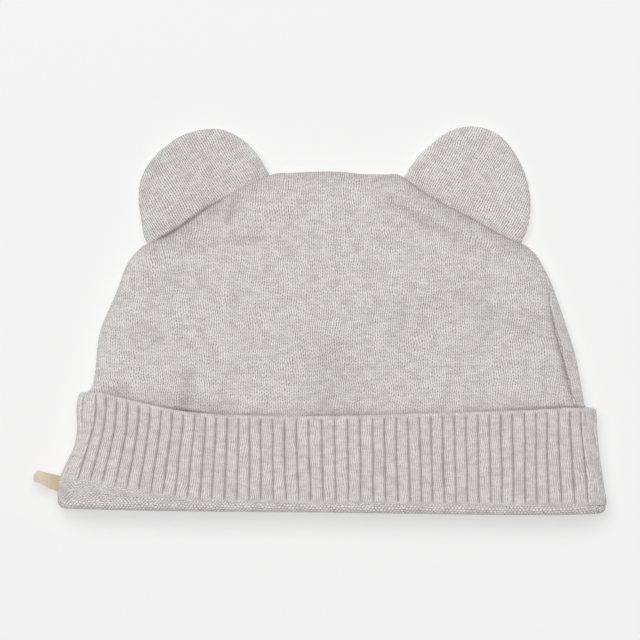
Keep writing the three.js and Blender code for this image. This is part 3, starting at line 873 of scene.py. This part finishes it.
def edge_row(inset, out):
    """A row near the top edge. The closer it is to the edge, the more it moves with the wall."""
    side = SHOULDER - inset
    return dict(
        side=side,
        up=lambda x: top_edge(towards_top(x, side)) - inset + out * (1 - inset / DEEPEST),
        inset=inset,
    )


EDGE_INSETS = np.concatenate([4 * np.linspace(0, 1, 13) ** 2, np.linspace(4, DEEPEST, 15)[1:]])
CROWN_SHARES = np.concatenate([np.linspace(1, 0.08, 42)[1:], np.linspace(0.08, 0, 9)[1:]])
LEVEL_UPS = np.concatenate([
    np.linspace(LEVEL, 31, 23)[1:],
    np.linspace(31, 9, 13)[1:],
    np.linspace(9, 3.6, 8)[1:],
])
TURN_STEPS = 12
TURN_HEIGHT = (WALL + CUFF_OUT) / 2
STRIP_STEPS = 10
SCARF_LONG = 1.6            # the strip thins out under the thinned foot of the ribbed band
SCARF_TUCK = 1.0
ROW_COUNT = len(EDGE_INSETS) + len(CROWN_SHARES) + len(LEVEL_UPS) + TURN_STEPS + 1 + STRIP_STEPS
LEVEL_INDEX = len(EDGE_INSETS) + len(CROWN_SHARES) - 1
print(f"{ROW_COUNT} rows of points, level from row {LEVEL_INDEX}")

# %% [markdown]
# A side of the sheet is the same rows at some distance from the wall's middle. At the hem they go
# half round a small circle. The strip beyond it thins out like a scarf joint where the ribbed
# band covers it. The map that the knit follows is then counted along these rows.

# %% One side of a panel, and its map
def panel_layer(face, columns, sideways):
    """One side of a panel's sheet. sideways is -1 to 1, from the reverse to the face, and may
    differ from point to point: 0 is the middle of the wall."""
    half = WALL / 2
    grid = []
    for number, inset in enumerate(EDGE_INSETS):
        out = -half + half * sideways[len(grid)]
        grid.append(skin(face, columns, edge_row(inset, out), out))
    for share in CROWN_SHARES:
        out = -half + half * sideways[len(grid)]
        grid.append(skin(face, columns, crown_row(share), out))
    for up in LEVEL_UPS:
        out = -half + half * sideways[len(grid)]
        grid.append(skin(face, columns, level_row(up), out))
    middle_out = (CUFF_OUT - WALL) / 2
    for step in range(TURN_STEPS + 1):
        angle = math.pi * step / TURN_STEPS
        reach = TURN_HEIGHT - half - half * sideways[len(grid)]
        out = middle_out - reach * math.cos(angle)
        row = level_row(TURN_HEIGHT)
        row["up"] = lambda x, reach=reach, angle=angle: hem_line(x) + TURN_HEIGHT - reach * math.sin(angle)
        grid.append(skin(face, columns, row, out))
    x = skin(face, columns, level_row(TURN_HEIGHT), CUFF_OUT)[:, 0]
    start = hem_line(x) + TURN_HEIGHT
    under_band = RIB_WALL - 0.1
    for share in np.linspace(0, 1, STRIP_STEPS + 1)[1:]:
        y = start + (band_foot(x) + SCARF_TUCK - start) * share
        top = CUFF_OUT - 0.06 - under_band * smooth(0, SCARF_LONG, y - band_foot(x))
        low = np.minimum(CUFF_OUT - WALL, top - 0.2)
        out = (top + low) / 2 - (top - low) / 2 * sideways[len(grid)]
        row = level_row(TURN_HEIGHT)
        row["up"] = lambda x, y=y: y
        grid.append(skin(face, columns, row, out))
    return np.array(grid)


def stitch_map(grid, level_index, strip=None):
    """Wales and courses over a panel: level wales, counted along the cloth from its middle."""
    steps = np.diff(grid, axis=1)
    extra = np.hypot(steps[:, :, 0], steps[:, :, 2]) - np.abs(steps[:, :, 0])
    extra = np.pad(np.cumsum(extra, axis=1), ((0, 0), (1, 0)))
    centre = grid.shape[1] // 2
    wales = grid[:, :, 0] + extra - extra[:, centre:centre + 1]
    climbs = np.diff(grid, axis=0)
    plain = np.hypot(climbs[:, :, 1], climbs[:, :, 2])
    extra = plain - np.abs(climbs[:, :, 1])
    below = np.pad(np.cumsum(plain, axis=0), ((1, 0), (0, 0)))
    above = np.pad(np.cumsum(extra, axis=0), ((1, 0), (0, 0)))
    courses = grid[:, :, 1] + above[level_index:level_index + 1] - above
    lower = grid[level_index, :, 1] - (below - below[level_index:level_index + 1])
    courses[level_index:] = lower[level_index:]
    if strip is not None:
        widths = np.linalg.norm(steps, axis=2)
        inwards = np.cumsum(widths[:, ::-1], axis=1)[:, ::-1]
        wales[:, strip:-1] = wales[level_index, -1] - inwards[:, strip:]
        wales[:, -1] = wales[level_index, -1]
    return np.stack([wales / WALE, courses / COURSE], axis=2)


# %% [markdown]
# Light hardly reaches into a sharp crease, and the sheets' edges are rounder than a real seam,
# so each crown has a mask that darkens its yarn there. It is worked out from the same outlines
# and folds as the shape, and is kept off the hidden side.

# %% Where the cloth lies in a crease
LEFT_EAR_CREASE = dict(ends=(-60, -54, -39, -33), line=0.55, glow=0.12)
RIGHT_EAR_CREASE = dict(ends=(20, 27, 63, 67), line=0.22, glow=0.06)
SIDE_SEAM_ENDS = (34, 40, 62, 80)
FOLD_SHADE = 0.14


def write_mask(piece, name, values):
    """A number for every point of a mesh, which its material reads by this name."""
    mask = piece.data.attributes.new(name, "FLOAT", "POINT")
    mask.data.foreach_set("value", np.clip(values, 0, 1).astype(np.float32))


def points_of(piece):
    """All of a mesh's points, in millimetres."""
    return np.array([vertex.co for vertex in piece.data.vertices]) / MM


def crown_crease(points):
    """How far light is lost in the creases of the crown: along the cuff's free edge, the ears,
    the seam on the right, and softly where the cloth rolls over the top."""
    x, y, z = points.T
    across = x - MIDDLE
    up = y - HEM
    slope = (top_edge(x + 1) - top_edge(x - 1)) / 2
    from_top = (top_edge(x) - y) / np.sqrt(1 + slope * slope)
    shade = 0.2 * near(from_top, 4.5)
    for ear in (LEFT_EAR_CREASE, RIGHT_EAR_CREASE):
        line = ear["line"] * near(from_top, 0.6) + ear["glow"] * near(from_top, 3.5)
        shade = shade + line * stretch(ear["ends"], across)
    # A painted shadow line on the crown just above the cuff's free edge, stronger at the left middle and
    # towards the right end.
    pressed = 0.3 * near(across + 50, 14) + 0.2 * smooth(40, 84, across)
    cuff = 0.3 + pressed + 0.12 * ripple(x, 0 * x, 8, 30, 5)
    shade = np.maximum(shade, cuff * near(y - cuff_edge(x) - 0.2, 0.75))
    shade = shade + FOLD_SHADE * fold_depth(x, y)
    from_seam = x - np.interp(y, UP, SEAM_RIGHT)
    seam = 0.24 * near(from_seam, 0.7) + 0.14 * near(from_seam, 2.5)
    shade = np.maximum(shade, stretch(SIDE_SEAM_ENDS, up) * seam)
    return shade * (z > np.interp(y, UP, SEAM_Z) - 0.5)


print("a crease is darkened by up to", LEFT_EAR_CREASE["line"])

# %% [markdown]
# Each panel is made twice, as its face and its reverse, and closed all round. Its flat size is
# measured along the middle of its wall, and its cloth's area too, and both are printed.

# %% Sew the panels
CROWNS = {}
for face in ("front", "back"):
    columns = columns_of(face, 122, 18)
    middle = panel_layer(face, columns, np.zeros((ROW_COUNT, 1)))
    rims = np.minimum(
        rim_share(middle, ("first",), 0.8),
        rim_share(middle, ("left", "right", "last"), 0.35),
    )
    outer = panel_layer(face, columns, rims)
    inner = panel_layer(face, columns, -rims)
    strip = None if face == "front" else middle.shape[1] - CLIMB_COLUMNS
    stitches = stitch_map(middle, LEVEL_INDEX, strip)
    name = f"crown_{face}_jersey"
    piece = closed_sheet(name, outer, inner, stitches, stitches, [JERSEY, JERSEY_REVERSE])
    write_mask(piece, "crease", crown_crease(points_of(piece)))
    length = path_length(middle[:, 90])
    width = path_length(middle[LEVEL_INDEX + 14])
    CROWNS[face] = (piece, cloth_area(middle), width, length)

for face, (piece, area, width, length) in CROWNS.items():
    under = () if face == "back" else [CROWNS["back"][0]]
    declare(piece, f"crown_{face}", "grey_jersey", area, width, length, "laid", under)

# %% [markdown]
# ## The ribbed cuff
# In two-by-one rib, two knit wales stand up and one purl wale sinks between them, so the band
# shows raised columns with narrow dark grooves. The grooves are real relief: the sheet has a
# row of columns of points for each rib. At the left end the band was pulled out, so the ribs
# lean and fan there; a short table says where some ribs stand and how far their feet lean.

# %% Where the ribs stand
RIBS = [
    dict(rib=0, across=-79.0),
    dict(rib=5, across=-60.4),
    dict(rib=10, across=-41.7),
    dict(rib=15, across=-23.3),
    dict(rib=19, across=-7.6),
    dict(rib=21, across=1.4),
    dict(rib=25, across=17.9),
    dict(rib=30, across=37.0),
    dict(rib=35, across=56.5),
    dict(rib=40, across=75.4),
    dict(rib=42, across=83.3),
]
LEANS = [
    dict(across=-86, foot=-8.4),
    dict(across=-79, foot=-7.6),
    dict(across=-74.7, foot=-6.2),
    dict(across=-67, foot=-4.3),
    dict(across=-56, foot=-3.4),
    dict(across=-45, foot=-2.3),
    dict(across=-34, foot=-1.0),
    dict(across=-26, foot=0.1),
    dict(across=-8, foot=0.9),
    dict(across=2, foot=0.2),
    dict(across=34, foot=0.7),
    dict(across=60, foot=0.2),
    dict(across=75, foot=0.7),
    dict(across=88, foot=2.6),
]
LEAN_RAMP = [
    dict(below=-14, share=-0.13),
    dict(below=-6, share=-0.12),
    dict(below=0, share=0.0),
    dict(below=6, share=0.25),
    dict(below=24, share=1.03),
]
LEAN_FROM = 28.3            # up from the hem: below it the ribs lean
GROOVE_WIDE = 0.30          # share of a rib that is groove
GROOVE_DEEP = 0.85
FIRST_RIB = -2              # the ribs before 0 and after RIGHT_RIB go round the hat's sides
RIGHT_RIB = 42
LAST_RIB = 43
BACK_RIB = 3.95             # the width of a rib on the back
BAND_HIGH = 33
RIB_PHASES = np.array([0, 0.05, 0.1, 0.15, 0.21, 0.33, 0.5, 0.67, 0.79, 0.85, 0.9, 0.95])


def table_line(rows, from_column, to_column, value):
    """A smooth line through a table's column."""
    at = np.array([row[from_column] for row in rows], float)
    to = np.array([row[to_column] for row in rows], float)
    fine = np.linspace(at[0], at[-1], 200)
    return np.interp(value, fine, softened(np.interp(fine, at, to), 4))


def rib_wales(rib):
    """Wales along the band: a groove is one wale and a raised column two."""
    phase = rib - np.floor(rib)
    half = GROOVE_WIDE / 2
    wale = np.interp(phase, [0, half, 1 - half, 1], [0, 0.5, RIB_WALES - 0.5, RIB_WALES])
    return RIB_WALES * np.floor(rib) + wale + 0.5


def purl_height(x):
    """How far the bumps of the hem reach up the band: further at the end that was pulled out."""
    return 0.4 + 3.0 * smooth(38, 84, MIDDLE - x)


def band_out(sideways, to_foot):
    """How far out a side of the band is: its inner side is feathered away at the foot."""
    inner = LAYER_GAP + (RIB_WALL - 0.05) * (1 - smooth(0, SCARF_LONG, to_foot))
    return inner + (CUFF_OUT - inner) * (1 + sideways) / 2


def rib_relief(rib, to_edge, to_foot, x):
    """How far the band's face is let down: deep in the grooves, shallow between two wales."""
    phase = rib - np.floor(rib)
    from_groove = np.minimum(phase, 1 - phase)
    groove = np.exp(-((from_groove / (GROOVE_WIDE * 0.4)) ** 4))
    groove = groove * smooth(0.4, 2.2, to_edge) * smooth(-0.4, 1.4, to_foot - purl_height(x))
    valley = 0.08 * near(phase - 0.5, 0.06) + 0.5 * (0.5 - from_groove) ** 2
    valley = valley * smooth(-0.2, 1.5, to_foot)
    nearest_groove = np.floor(rib + 0.5).astype(int)
    return groove * GROOVE_DEEP * GROOVE_CHANCE[nearest_groove - FIRST_RIB + SPARE_CHANCES] + valley


def every_rib(first, last):
    """Places along the band, counted in ribs, with columns where a groove bends."""
    whole = np.arange(first, last)
    return np.append((whole[:, None] + RIB_PHASES[None, :]).ravel(), last)


SPARE_CHANCES = 6
GROOVE_CHANCE = np.random.default_rng(11).uniform(0.75, 1.15, 80)
CLOSE_AT_FOOT = [0, 0.004, 0.012, 0.025, 0.045]
CLOSE_AT_EDGE = [0.93, 0.955, 0.972, 0.984, 0.993, 0.998, 1.0]
BAND_SHARES = np.concatenate([CLOSE_AT_FOOT, np.linspace(0.07, 0.9, 22), CLOSE_AT_EDGE])


def band_rounding(share):
    """1 over the band, falling to 0 at its free edge."""
    rounding = rise((1 - share) * BAND_HIGH, 1.1)
    rounding[0] = 0
    return rounding


print(f"{RIGHT_RIB + 1} ribs across the front, {len(BAND_SHARES)} rows of points up the band")

# %% [markdown]
# The front band is knitted rib by rib. A rib's place comes from the table, its lean grows towards
# the hem, and at the two sides the ribs go round the edge of the hat to the seam.

# %% Knit the front band
def band_row(share, sideways, ribs):
    """One row of the front band, from its left seam to its right seam."""
    plan = table_line(RIBS, "rib", "across", np.clip(ribs, 0, RIGHT_RIB))
    lean = table_line(LEANS, "across", "foot", plan)
    wander = 0.12 * ripple(ribs * 9, share * BAND_HIGH + 0 * ribs, 31, 40, 12)
    x = MIDDLE + plan
    for repeat in range(3):
        foot = band_foot(x)
        edge = cuff_edge(x)
        y = foot + (edge - foot) * share
        ramp = table_line(LEAN_RAMP, "below", "share", HEM + LEAN_FROM - y)
        x = MIDDLE + plan + lean * ramp + wander
    out = band_out(sideways, y - foot)
    if sideways > 0:
        out = out - sideways * rib_relief(ribs, edge - y, y - foot, x)
    reach = from_cuff(y, **FRONT_ROUND) + out
    flat_left = left_edge(y) + reach - out
    flat_right = right_edge(y) - reach + out
    left_turn = np.arccos(np.clip((flat_left - x) / reach, 0, 1))
    right_turn = np.arccos(np.clip((x - flat_right) / reach, 0, 1))
    past_left = np.clip(ribs / FIRST_RIB, 0, 1)
    past_right = np.clip((ribs - RIGHT_RIB) / (LAST_RIB - RIGHT_RIB), 0, 1)
    first = np.argmin(np.abs(ribs))
    last = np.argmin(np.abs(ribs - RIGHT_RIB))
    to_seam = seam_angle(y, reach)[last] - right_turn[last]
    left_turn = np.where(ribs < 0, left_turn[first] * (1 - past_left), left_turn)
    right_turn = np.where(ribs > RIGHT_RIB, right_turn[last] + to_seam * past_right, right_turn)
    x = np.where(left_turn < QUARTER, flat_left - reach * np.cos(left_turn), x)
    x = np.where(right_turn < QUARTER, flat_right + reach * np.cos(right_turn), x)
    lift = np.sin(np.minimum(left_turn, right_turn))
    start = np.interp(y, UP, SEAM_Z) + seam_opening(x, y)
    top = np.interp(y, UP, CROWN_TOP) + out
    return np.stack([x, y, start + (top - start) * lift], axis=1)


FRONT_RIBS = every_rib(FIRST_RIB, LAST_RIB)


def front_band(sides):
    """One side of the front band, row by row."""
    return np.array([band_row(share, side, FRONT_RIBS) for share, side in zip(BAND_SHARES, sides)])


print(f"{len(FRONT_RIBS)} columns of points along the front band")

# %% [markdown]
# The back lies pressed on the table, so its ribs are taken as even and straight. Its columns are
# picked along the same skin as the crown's back, a fixed width of cloth for each rib.

# %% Knit the back band
MIDWAY_UP = 20


def back_band(sides, columns):
    """One side of the back band: even ribs, pressed on the table."""
    ribs = columns["rib"]
    grid = []
    for share, side in zip(BAND_SHARES, sides):
        x = skin("back", columns, level_row(MIDWAY_UP), 0.0)[:, 0]
        for repeat in range(2):
            foot = band_foot(x)
            edge = cuff_edge(x)
            y = foot + (edge - foot) * share
            out = band_out(side, y - foot)
            if side > 0:
                out = out - side * rib_relief(ribs, edge - y, y - foot, x)
            row = dict(side=y, up=lambda x, y=y: y, inset=None)
            points = skin("back", columns, row, out)
            x = points[:, 0]
        grid.append(points)
    return np.array(grid)


def back_columns():
    """Columns for the back band, evenly ribbed along the cloth."""
    columns = columns_of("back", 400, 60)
    line = skin("back", columns, level_row(MIDWAY_UP), CUFF_OUT)
    along = np.concatenate([[0], np.cumsum(np.linalg.norm(np.diff(line, axis=0), axis=1))])
    count = round(along[-1] / BACK_RIB)
    ribs = every_rib(0, count)
    at = np.interp(ribs / count * along[-1], along, np.arange(len(along)))
    low = np.floor(at).astype(int)
    nearest = np.round(at).astype(int)
    picked = {}
    for key, values in columns.items():
        after = values[np.minimum(low + 1, len(values) - 1)]
        if values.dtype == bool or key == "edge":
            picked[key] = values[nearest]
        else:
            picked[key] = values[low] + (after - values[low]) * (at - low)
    picked["turn"] = np.where(picked["edge"] == 0, QUARTER, picked["turn"])
    picked["rib"] = ribs
    return picked


BACK_COLUMNS = back_columns()
print(f"{len(BACK_COLUMNS['rib'])} columns of points along the back band")

# %% [markdown]
# Both bands are sewn by one function. It also writes where the dark grooves and the bumpy hem are,
# and keeps the thin foot of the band crisp, so that its shading doesn't round over the hem.

# %% Sew both bands
def sew_band(name, build, ribs):
    """The band's mesh, with its map counted in wales and its masks, and its flat size."""
    flat = np.zeros(len(BAND_SHARES))
    round_off = band_rounding(BAND_SHARES)
    middle = build(flat)
    outer = build(round_off)
    inner = build(-round_off)
    inner[:, 0], inner[:, -1] = outer[:, 0], outer[:, -1]
    climbs = np.linalg.norm(np.diff(middle, axis=0), axis=2)
    courses = -np.pad(np.cumsum(climbs, axis=0), ((1, 0), (0, 0))) / COURSE
    stitches = np.stack([np.broadcast_to(rib_wales(ribs), courses.shape), courses], axis=2)
    piece = closed_sheet(name, outer, inner, stitches, stitches, [RIB, JERSEY_REVERSE])
    x, y, _ = points_of(piece).T
    above = y - band_foot(x) - purl_height(x)
    write_mask(piece, "groove", smooth(0.5, 1.8, cuff_edge(x) - y) * smooth(-0.4, 1.2, above))
    write_mask(piece, "hem", 1 - smooth(-0.2, 1.0, above))
    at_foot = y - band_foot(x) < 0.06
    ends = np.array([edge.vertices for edge in piece.data.edges])
    crisp = piece.data.attributes.new("sharp_edge", "BOOLEAN", "EDGE")
    crisp.data.foreach_set("value", at_foot[ends].all(axis=1))
    return piece, cloth_area(middle), path_length(middle[12]), float(climbs.sum(axis=0).mean())


front = sew_band("cuff_front_rib", front_band, FRONT_RIBS)
declare(front[0], "cuff_front", "grey_rib", *front[1:], "folded", [CROWNS["front"][0]])
back = sew_band("cuff_back_rib", lambda sides: back_band(sides, BACK_COLUMNS), BACK_COLUMNS["rib"])
declare(back[0], "cuff_back", "grey_rib", *back[1:], "folded", [CROWNS["back"][0]])

# %% [markdown]
# ## The ears
# An ear is two round pieces of jersey sewn together, turned, and pressed flat, with its root
# caught in the top seam. Its outline is read from its solid as the furthest point in each
# direction. Both sides are drawn over that outline, and meet in a pinched line round the rim.

# %% Shape an ear
EAR_ROUND = 3.4             # how far in from its rim an ear is rounded
EAR_TUCK = 1.5              # how far its root goes in under the top edge
EAR_HALF = 1.2              # half its thickness at the root, and what the middle adds
EAR_SWELL = 0.75
EAR_DISH = 0.35
ROOT_HEIGHT = 4.6
EAR_DROOP = 2.55
PLUMP_INSET = 6.4
EAR_INSETS = np.concatenate([EAR_ROUND * np.linspace(0, 1, 12) ** 2, [4.2, 5.2, PLUMP_INSET]])
RIPPLE_SEEDS = {1: 21, -1: 22}


def ear_plan(node, inner_side):
    """The two ends of an ear's root, and its rim as a smooth line of points between them."""
    points = MESHES[node][0]
    foot = points[np.argmin(points[:, 1])][:2]
    head = points[np.argmax(points[:, 0] * inner_side)][:2]
    along = (head - foot) / np.linalg.norm(head - foot)
    out = np.array([-along[1], along[0]])
    if out[1] < 0:
        out = -out
    middle = (foot + head) / 2
    local = np.stack([(points[:, :2] - middle) @ along, (points[:, :2] - middle) @ out], axis=1)
    angles = np.linspace(0, math.pi, 73)
    radii = []
    for angle in angles:
        heading = np.array([math.cos(angle), math.sin(angle)])
        turned = local @ heading
        aside = np.abs(local @ np.array([-heading[1], heading[0]]))
        ahead = (aside < 2.6) & (turned > 0)
        radii.append(turned[ahead].max())
    radii = softened(np.array(radii), 1.5)
    return middle, along, out, angles, radii


def ear_height(side, here, place, insets):
    """How high one side of an ear is: thin at the rim and the root, and drooping to its tip."""
    away = here[:, 1]
    half = EAR_HALF + EAR_SWELL * smooth(2.0, 9.0, away)
    dish = EAR_DISH * np.exp(-((here[:, 0] / 11) ** 2) - (((away - 13) / 8) ** 2))
    swell = 0.14 * ripple(place[:, 0], place[:, 1], RIPPLE_SEEDS[side], 22.0, 7.0)
    thick = (half - dish + swell * smooth(2, 7, away)) * rise(insets, EAR_ROUND)
    rest = ROOT_HEIGHT - EAR_DROOP * smooth(2.2, 21.0, away)
    steep, merged = ear_seam(place[:, 0])
    rest = rest + 2.3 * merged * stretch((-0.8, 1.2, 2.5, 13), away)
    rest = rest - 1.2 * steep * (1 - smooth(0.3, 2.2, away))
    return np.maximum(rest + side * thick, 0.02)


def ear_sides(node, inner_side, columns=121):
    """The grids of an ear's two sides from rim to root, and their maps."""
    middle, along, out, angles, radii = ear_plan(node, inner_side)
    sweep = np.linspace(0, math.pi, columns)
    reach = np.interp(sweep, angles, radii)
    rim = np.stack([np.cos(sweep) * reach, np.sin(sweep) * reach], axis=1)
    half_root = np.linspace(rim[0, 0], rim[-1, 0], columns)
    tucks = EAR_TUCK * np.minimum(1, 2.6 * np.sin(sweep) + 0.1)
    sides = []
    maps = []
    for side in (1, -1):
        grid = []
        chart = []
        for j in range(columns):
            root = middle + along * half_root[j]
            root_out = (top_edge(root[0]) - root[1]) * out[1] - tucks[j]
            root_local = np.array([half_root[j], root_out])
            tip = rim[j]
            long = max(np.linalg.norm(tip - root_local), 0.4)
            onwards = np.linspace(min(PLUMP_INSET, long * 0.53), long, 22)[1:]
            insets = np.concatenate([EAR_INSETS * min(1, long / 12), onwards])
            here = tip + (root_local - tip) * (insets / long)[:, None]
            place = middle + here[:, :1] * along + here[:, 1:] * out
            grid.append(np.column_stack([place, ear_height(side, here, place, insets)]))
            chart.append(np.column_stack([here[:, 0] / WALE, here[:, 1] / COURSE]))
        sides.append(np.array(grid))
        maps.append(np.array(chart))
    return sides, maps


print(f"an ear is up to {2 * (EAR_HALF + EAR_SWELL):.1f} mm thick")

# %% [markdown]
# Each ear is sewn from its two sides, which share the points of the rim and of the root. The left
# ear is made evenly a little darker than the right one, and more so in the crease at its root,
# where the darkening is painted shade.

# %% Sew the ears
EARS = {
    "left": dict(inner_side=1, dark=0.08),
    "right": dict(inner_side=-1, dark=0.0),
}
EAR_LONG = 48
EAR_HIGH = 30
for name, ear in EARS.items():
    (upper, lower), (chart, other) = ear_sides(f"ear_{name}", ear["inner_side"])
    for border in (np.s_[0, :], np.s_[-1, :], np.s_[:, -1]):
        lower[border] = upper[border] = (upper[border] + lower[border]) / 2
    lower[:, 0] = upper[:, 0]
    piece = closed_sheet(f"ear_{name}_jersey", upper, lower, chart, other, [JERSEY], reverse_slot=0)
    area = cloth_area(upper) * 0.98
    x, y, z = points_of(piece).T
    steep, _ = ear_seam(x)
    # An even darkening of the left ear, and painted shade in the crease along the root.
    shade = ear["dark"] + 0.4 * steep * near(y - top_edge(x), 0.8)
    write_mask(piece, "crease", shade * (z > 2))
    declare(piece, f"ear_{name}", "grey_jersey", area, EAR_LONG, EAR_HIGH, "laid", [CROWNS["back"][0]])

# %% [markdown]
# ## The label
# A short woven ribbon is folded in a loop and both its ends are caught in the side seam. A flat
# grid is laid along the loop's path, given its thickness by a Solidify modifier, and its edges
# are rounded by a bevel. It is left bare.

# %% Fold the ribbon
LABEL_LOW, LABEL_HIGH = node_box("side_label")
LABEL_TILT = 0.38           # how far the loop is turned down from straight out, in radians
LABEL_WIDE = 4.8
LABEL_LONG = 9.6
RIBBON_THICK = 0.7
WEFT_STEP = 0.42            # from one thread of the weave to the next
WARP_STEP = 0.3
PALE_RIBBON = from_srgb(255, 243, 224)
BEIGE_RIBBON = from_srgb(240, 221, 192)
BETWEEN_THREADS = from_srgb(150, 128, 100)
SHADED_RIBBON = from_srgb(206, 182, 144)


def ribbon_material():
    """A close beige weave, with painted shade darkening it by the seam."""
    material, tree, shader = new_material("beige_ribbon")
    chart = stitch_map_of(tree)
    warp, weft = split(tree, chart)
    ribs = calc(tree, "SINE", calc(tree, "MULTIPLY", weft, 2 * math.pi / WEFT_STEP))
    threads = calc(tree, "SINE", calc(tree, "MULTIPLY", warp, 2 * math.pi / WARP_STEP))
    weave = calc(tree, "MULTIPLY_ADD", threads, 0.35, calc(tree, "MULTIPLY_ADD", ribs, 0.5, 0.5))
    uneven = noise(tree, chart, 0.8, 3.0)
    colour = blend(tree, uneven, BEIGE_RIBBON, PALE_RIBBON)
    colour = blend(tree, between(tree, weave, 0.0, 0.5, 0.3, 0.0), colour, BETWEEN_THREADS)
    # Painted shade: the loop darkens towards the seam it comes out of.
    shaded = between(tree, mask(tree, "near_seam"), 0.15, 0.8, 0.0, 0.6)
    colour = blend(tree, shaded, colour, SHADED_RIBBON)
    tree.links.new(colour, shader.inputs["Base Color"])
    tree.links.new(between(tree, uneven, 0.2, 0.8, 0.65, 0.85), shader.inputs["Roughness"])
    shader.inputs["Sheen Weight"].default_value = 0.15
    tree.links.new(raised(tree, weave, 0.08, 0.6), shader.inputs["Normal"])
    return material


def loop_path(bend, straight):
    """The ribbon's path from one end round and back, as places outwards and up."""
    outwards = np.linspace(0, straight, 14)
    angles = np.linspace(0, math.pi, 12)[1:-1]
    lower = np.column_stack([outwards, np.full(len(outwards), -bend)])
    round_end = np.column_stack([straight + bend * np.sin(angles), -bend * np.cos(angles)])
    return np.vstack([lower, round_end, (lower * [1, -1])[::-1]])


def fold_ribbon():
    """A loop of ribbon laid along its path, a little pinched, dented and curled."""
    bend = RIBBON_THICK * 0.95
    straight = LABEL_LONG - bend - RIBBON_THICK / 2
    path = loop_path(bend, straight)
    bpy.ops.object.select_all(action="DESELECT")
    bpy.ops.mesh.primitive_grid_add(x_subdivisions=len(path) - 1, y_subdivisions=14, size=1)
    piece = bpy.context.active_object
    piece.name = "side_label_ribbon"
    piece.data.name = piece.name
    root = np.array([LABEL_HIGH[0] - 0.8, LABEL_LOW[1] + 2.2, (LABEL_LOW[2] + LABEL_HIGH[2]) / 2])
    heading = np.array([-math.cos(LABEL_TILT), math.sin(LABEL_TILT), 0])
    aside = np.array([math.sin(LABEL_TILT), math.cos(LABEL_TILT), 0])
    travel = np.concatenate([[0], np.cumsum(np.linalg.norm(np.diff(path, axis=0), axis=1))])
    charts = {}
    near_seam = []
    for vertex in piece.data.vertices:
        step = round((vertex.co.x + 0.5) * (len(path) - 1))
        share = vertex.co.y * 2
        outwards, height = path[step]
        far = outwards / (straight + bend)
        pinch = 1.04 - 0.26 * smooth(0.1, 1.0, far)
        rounding = 0.9 * abs(share) ** 3 * smooth(0.6, 1.0, far)
        middle = 1 - share * share
        dent = 0.5 * middle * stretch((0.05, 0.4, 0.5, 0.95), far)
        curl = 0.35 * middle * smooth(0.3, 1.0, far)
        across = share * LABEL_WIDE / 2 * pinch
        place = root + heading * (outwards - rounding) + aside * (across - 0.35 * far)
        lift = height * (1 - 0.55 * dent) + curl - 0.3 * dent - 0.25
        vertex.co = Vector((place[0], place[1], place[2] + lift)) * MM
        charts[vertex.index] = (share * LABEL_WIDE / 2, travel[step])
        near_seam.append(1 - far)
    uv = piece.data.uv_layers[0]
    uv.name = "stitches"
    for loop in piece.data.loops:
        uv.data[loop.index].uv = charts[loop.vertex_index]
    shade = piece.data.attributes.new("near_seam", "FLOAT", "POINT")
    shade.data.foreach_set("value", near_seam)
    wall = piece.modifiers.new("ribbon wall", "SOLIDIFY")
    wall.thickness = RIBBON_THICK * MM
    wall.offset = 0
    edge = piece.modifiers.new("soft edges", "BEVEL")
    edge.width = 0.2 * MM
    edge.segments = 3
    for modifier in list(piece.modifiers):
        bpy.ops.object.modifier_apply(modifier=modifier.name)
    bpy.ops.object.shade_smooth()
    piece.data.materials.append(ribbon_material())
    print(f"{travel[-1]:.1f} mm of ribbon in the loop")
    return piece


label = fold_ribbon()
declare(label, "side_label", "beige_ribbon", None, LABEL_WIDE, 2 * LABEL_LONG, "folded", ())

# %% [markdown]
# ## The studio
# The hat lies on a plain pale table under one large soft lamp, above and to the upper left, with
# a pale room around it to fill the shadows. The camera looks straight down through a long lens,
# as over a copy stand, so the outline is seen without distortion.

# %% Floor, lamp and camera
TABLE_GREY = (0.53, 0.53, 0.53, 1)
TABLE_GLOW = 0.45           # stands for the light that a white table throws back on itself
WHITE = (1.0, 1.0, 1.0, 1)
ROOM_LIGHT = 0.3
LAMP_PLACE = (-0.15, 0.4, 1.5)
LAMP_WIDE = 1.2
LAMP_POWER = 15.2
CAMERA_PLACE = (0.0005, 0.0, 1.2)
SENSOR = 36
SEEN_WIDTH = 0.21333        # what the camera sees across, in metres, at the height of the hat
LEVEL_SEEN = 0.008

bpy.ops.object.select_all(action="DESELECT")
bpy.ops.mesh.primitive_plane_add(size=6)
floor = bpy.context.active_object
floor.name = "table_top"
pale_table, _, table_shader = new_material("pale_table")
table_shader.inputs["Base Color"].default_value = TABLE_GREY
table_shader.inputs["Roughness"].default_value = 0.9
table_shader.inputs["Emission Color"].default_value = WHITE
table_shader.inputs["Emission Strength"].default_value = TABLE_GLOW
floor.data.materials.append(pale_table)

world = bpy.data.worlds.new("pale_room")
bpy.context.scene.world = world
world.use_nodes = True
room = world.node_tree.nodes["Background"]
room.inputs["Color"].default_value = WHITE
room.inputs["Strength"].default_value = ROOM_LIGHT

bpy.ops.object.light_add(type="AREA", location=LAMP_PLACE)
lamp = bpy.context.active_object
lamp.name = "softbox"
lamp.data.shape = "DISK"
lamp.data.size = LAMP_WIDE
lamp.data.energy = LAMP_POWER
lamp.rotation_euler = (-lamp.location).to_track_quat("-Z", "Y").to_euler()

camera_data = bpy.data.cameras.new("over_the_table")
camera = bpy.data.objects.new("over_the_table", camera_data)
bpy.context.scene.collection.objects.link(camera)
camera.location = CAMERA_PLACE
camera_data.sensor_width = SENSOR
camera_data.lens = SENSOR * (CAMERA_PLACE[2] - LEVEL_SEEN) / SEEN_WIDTH
bpy.context.scene.camera = camera
bpy.context.scene.view_settings.view_transform = "Standard"
print("camera", tuple(camera.location), "lens", round(camera_data.lens, 1), "mm")
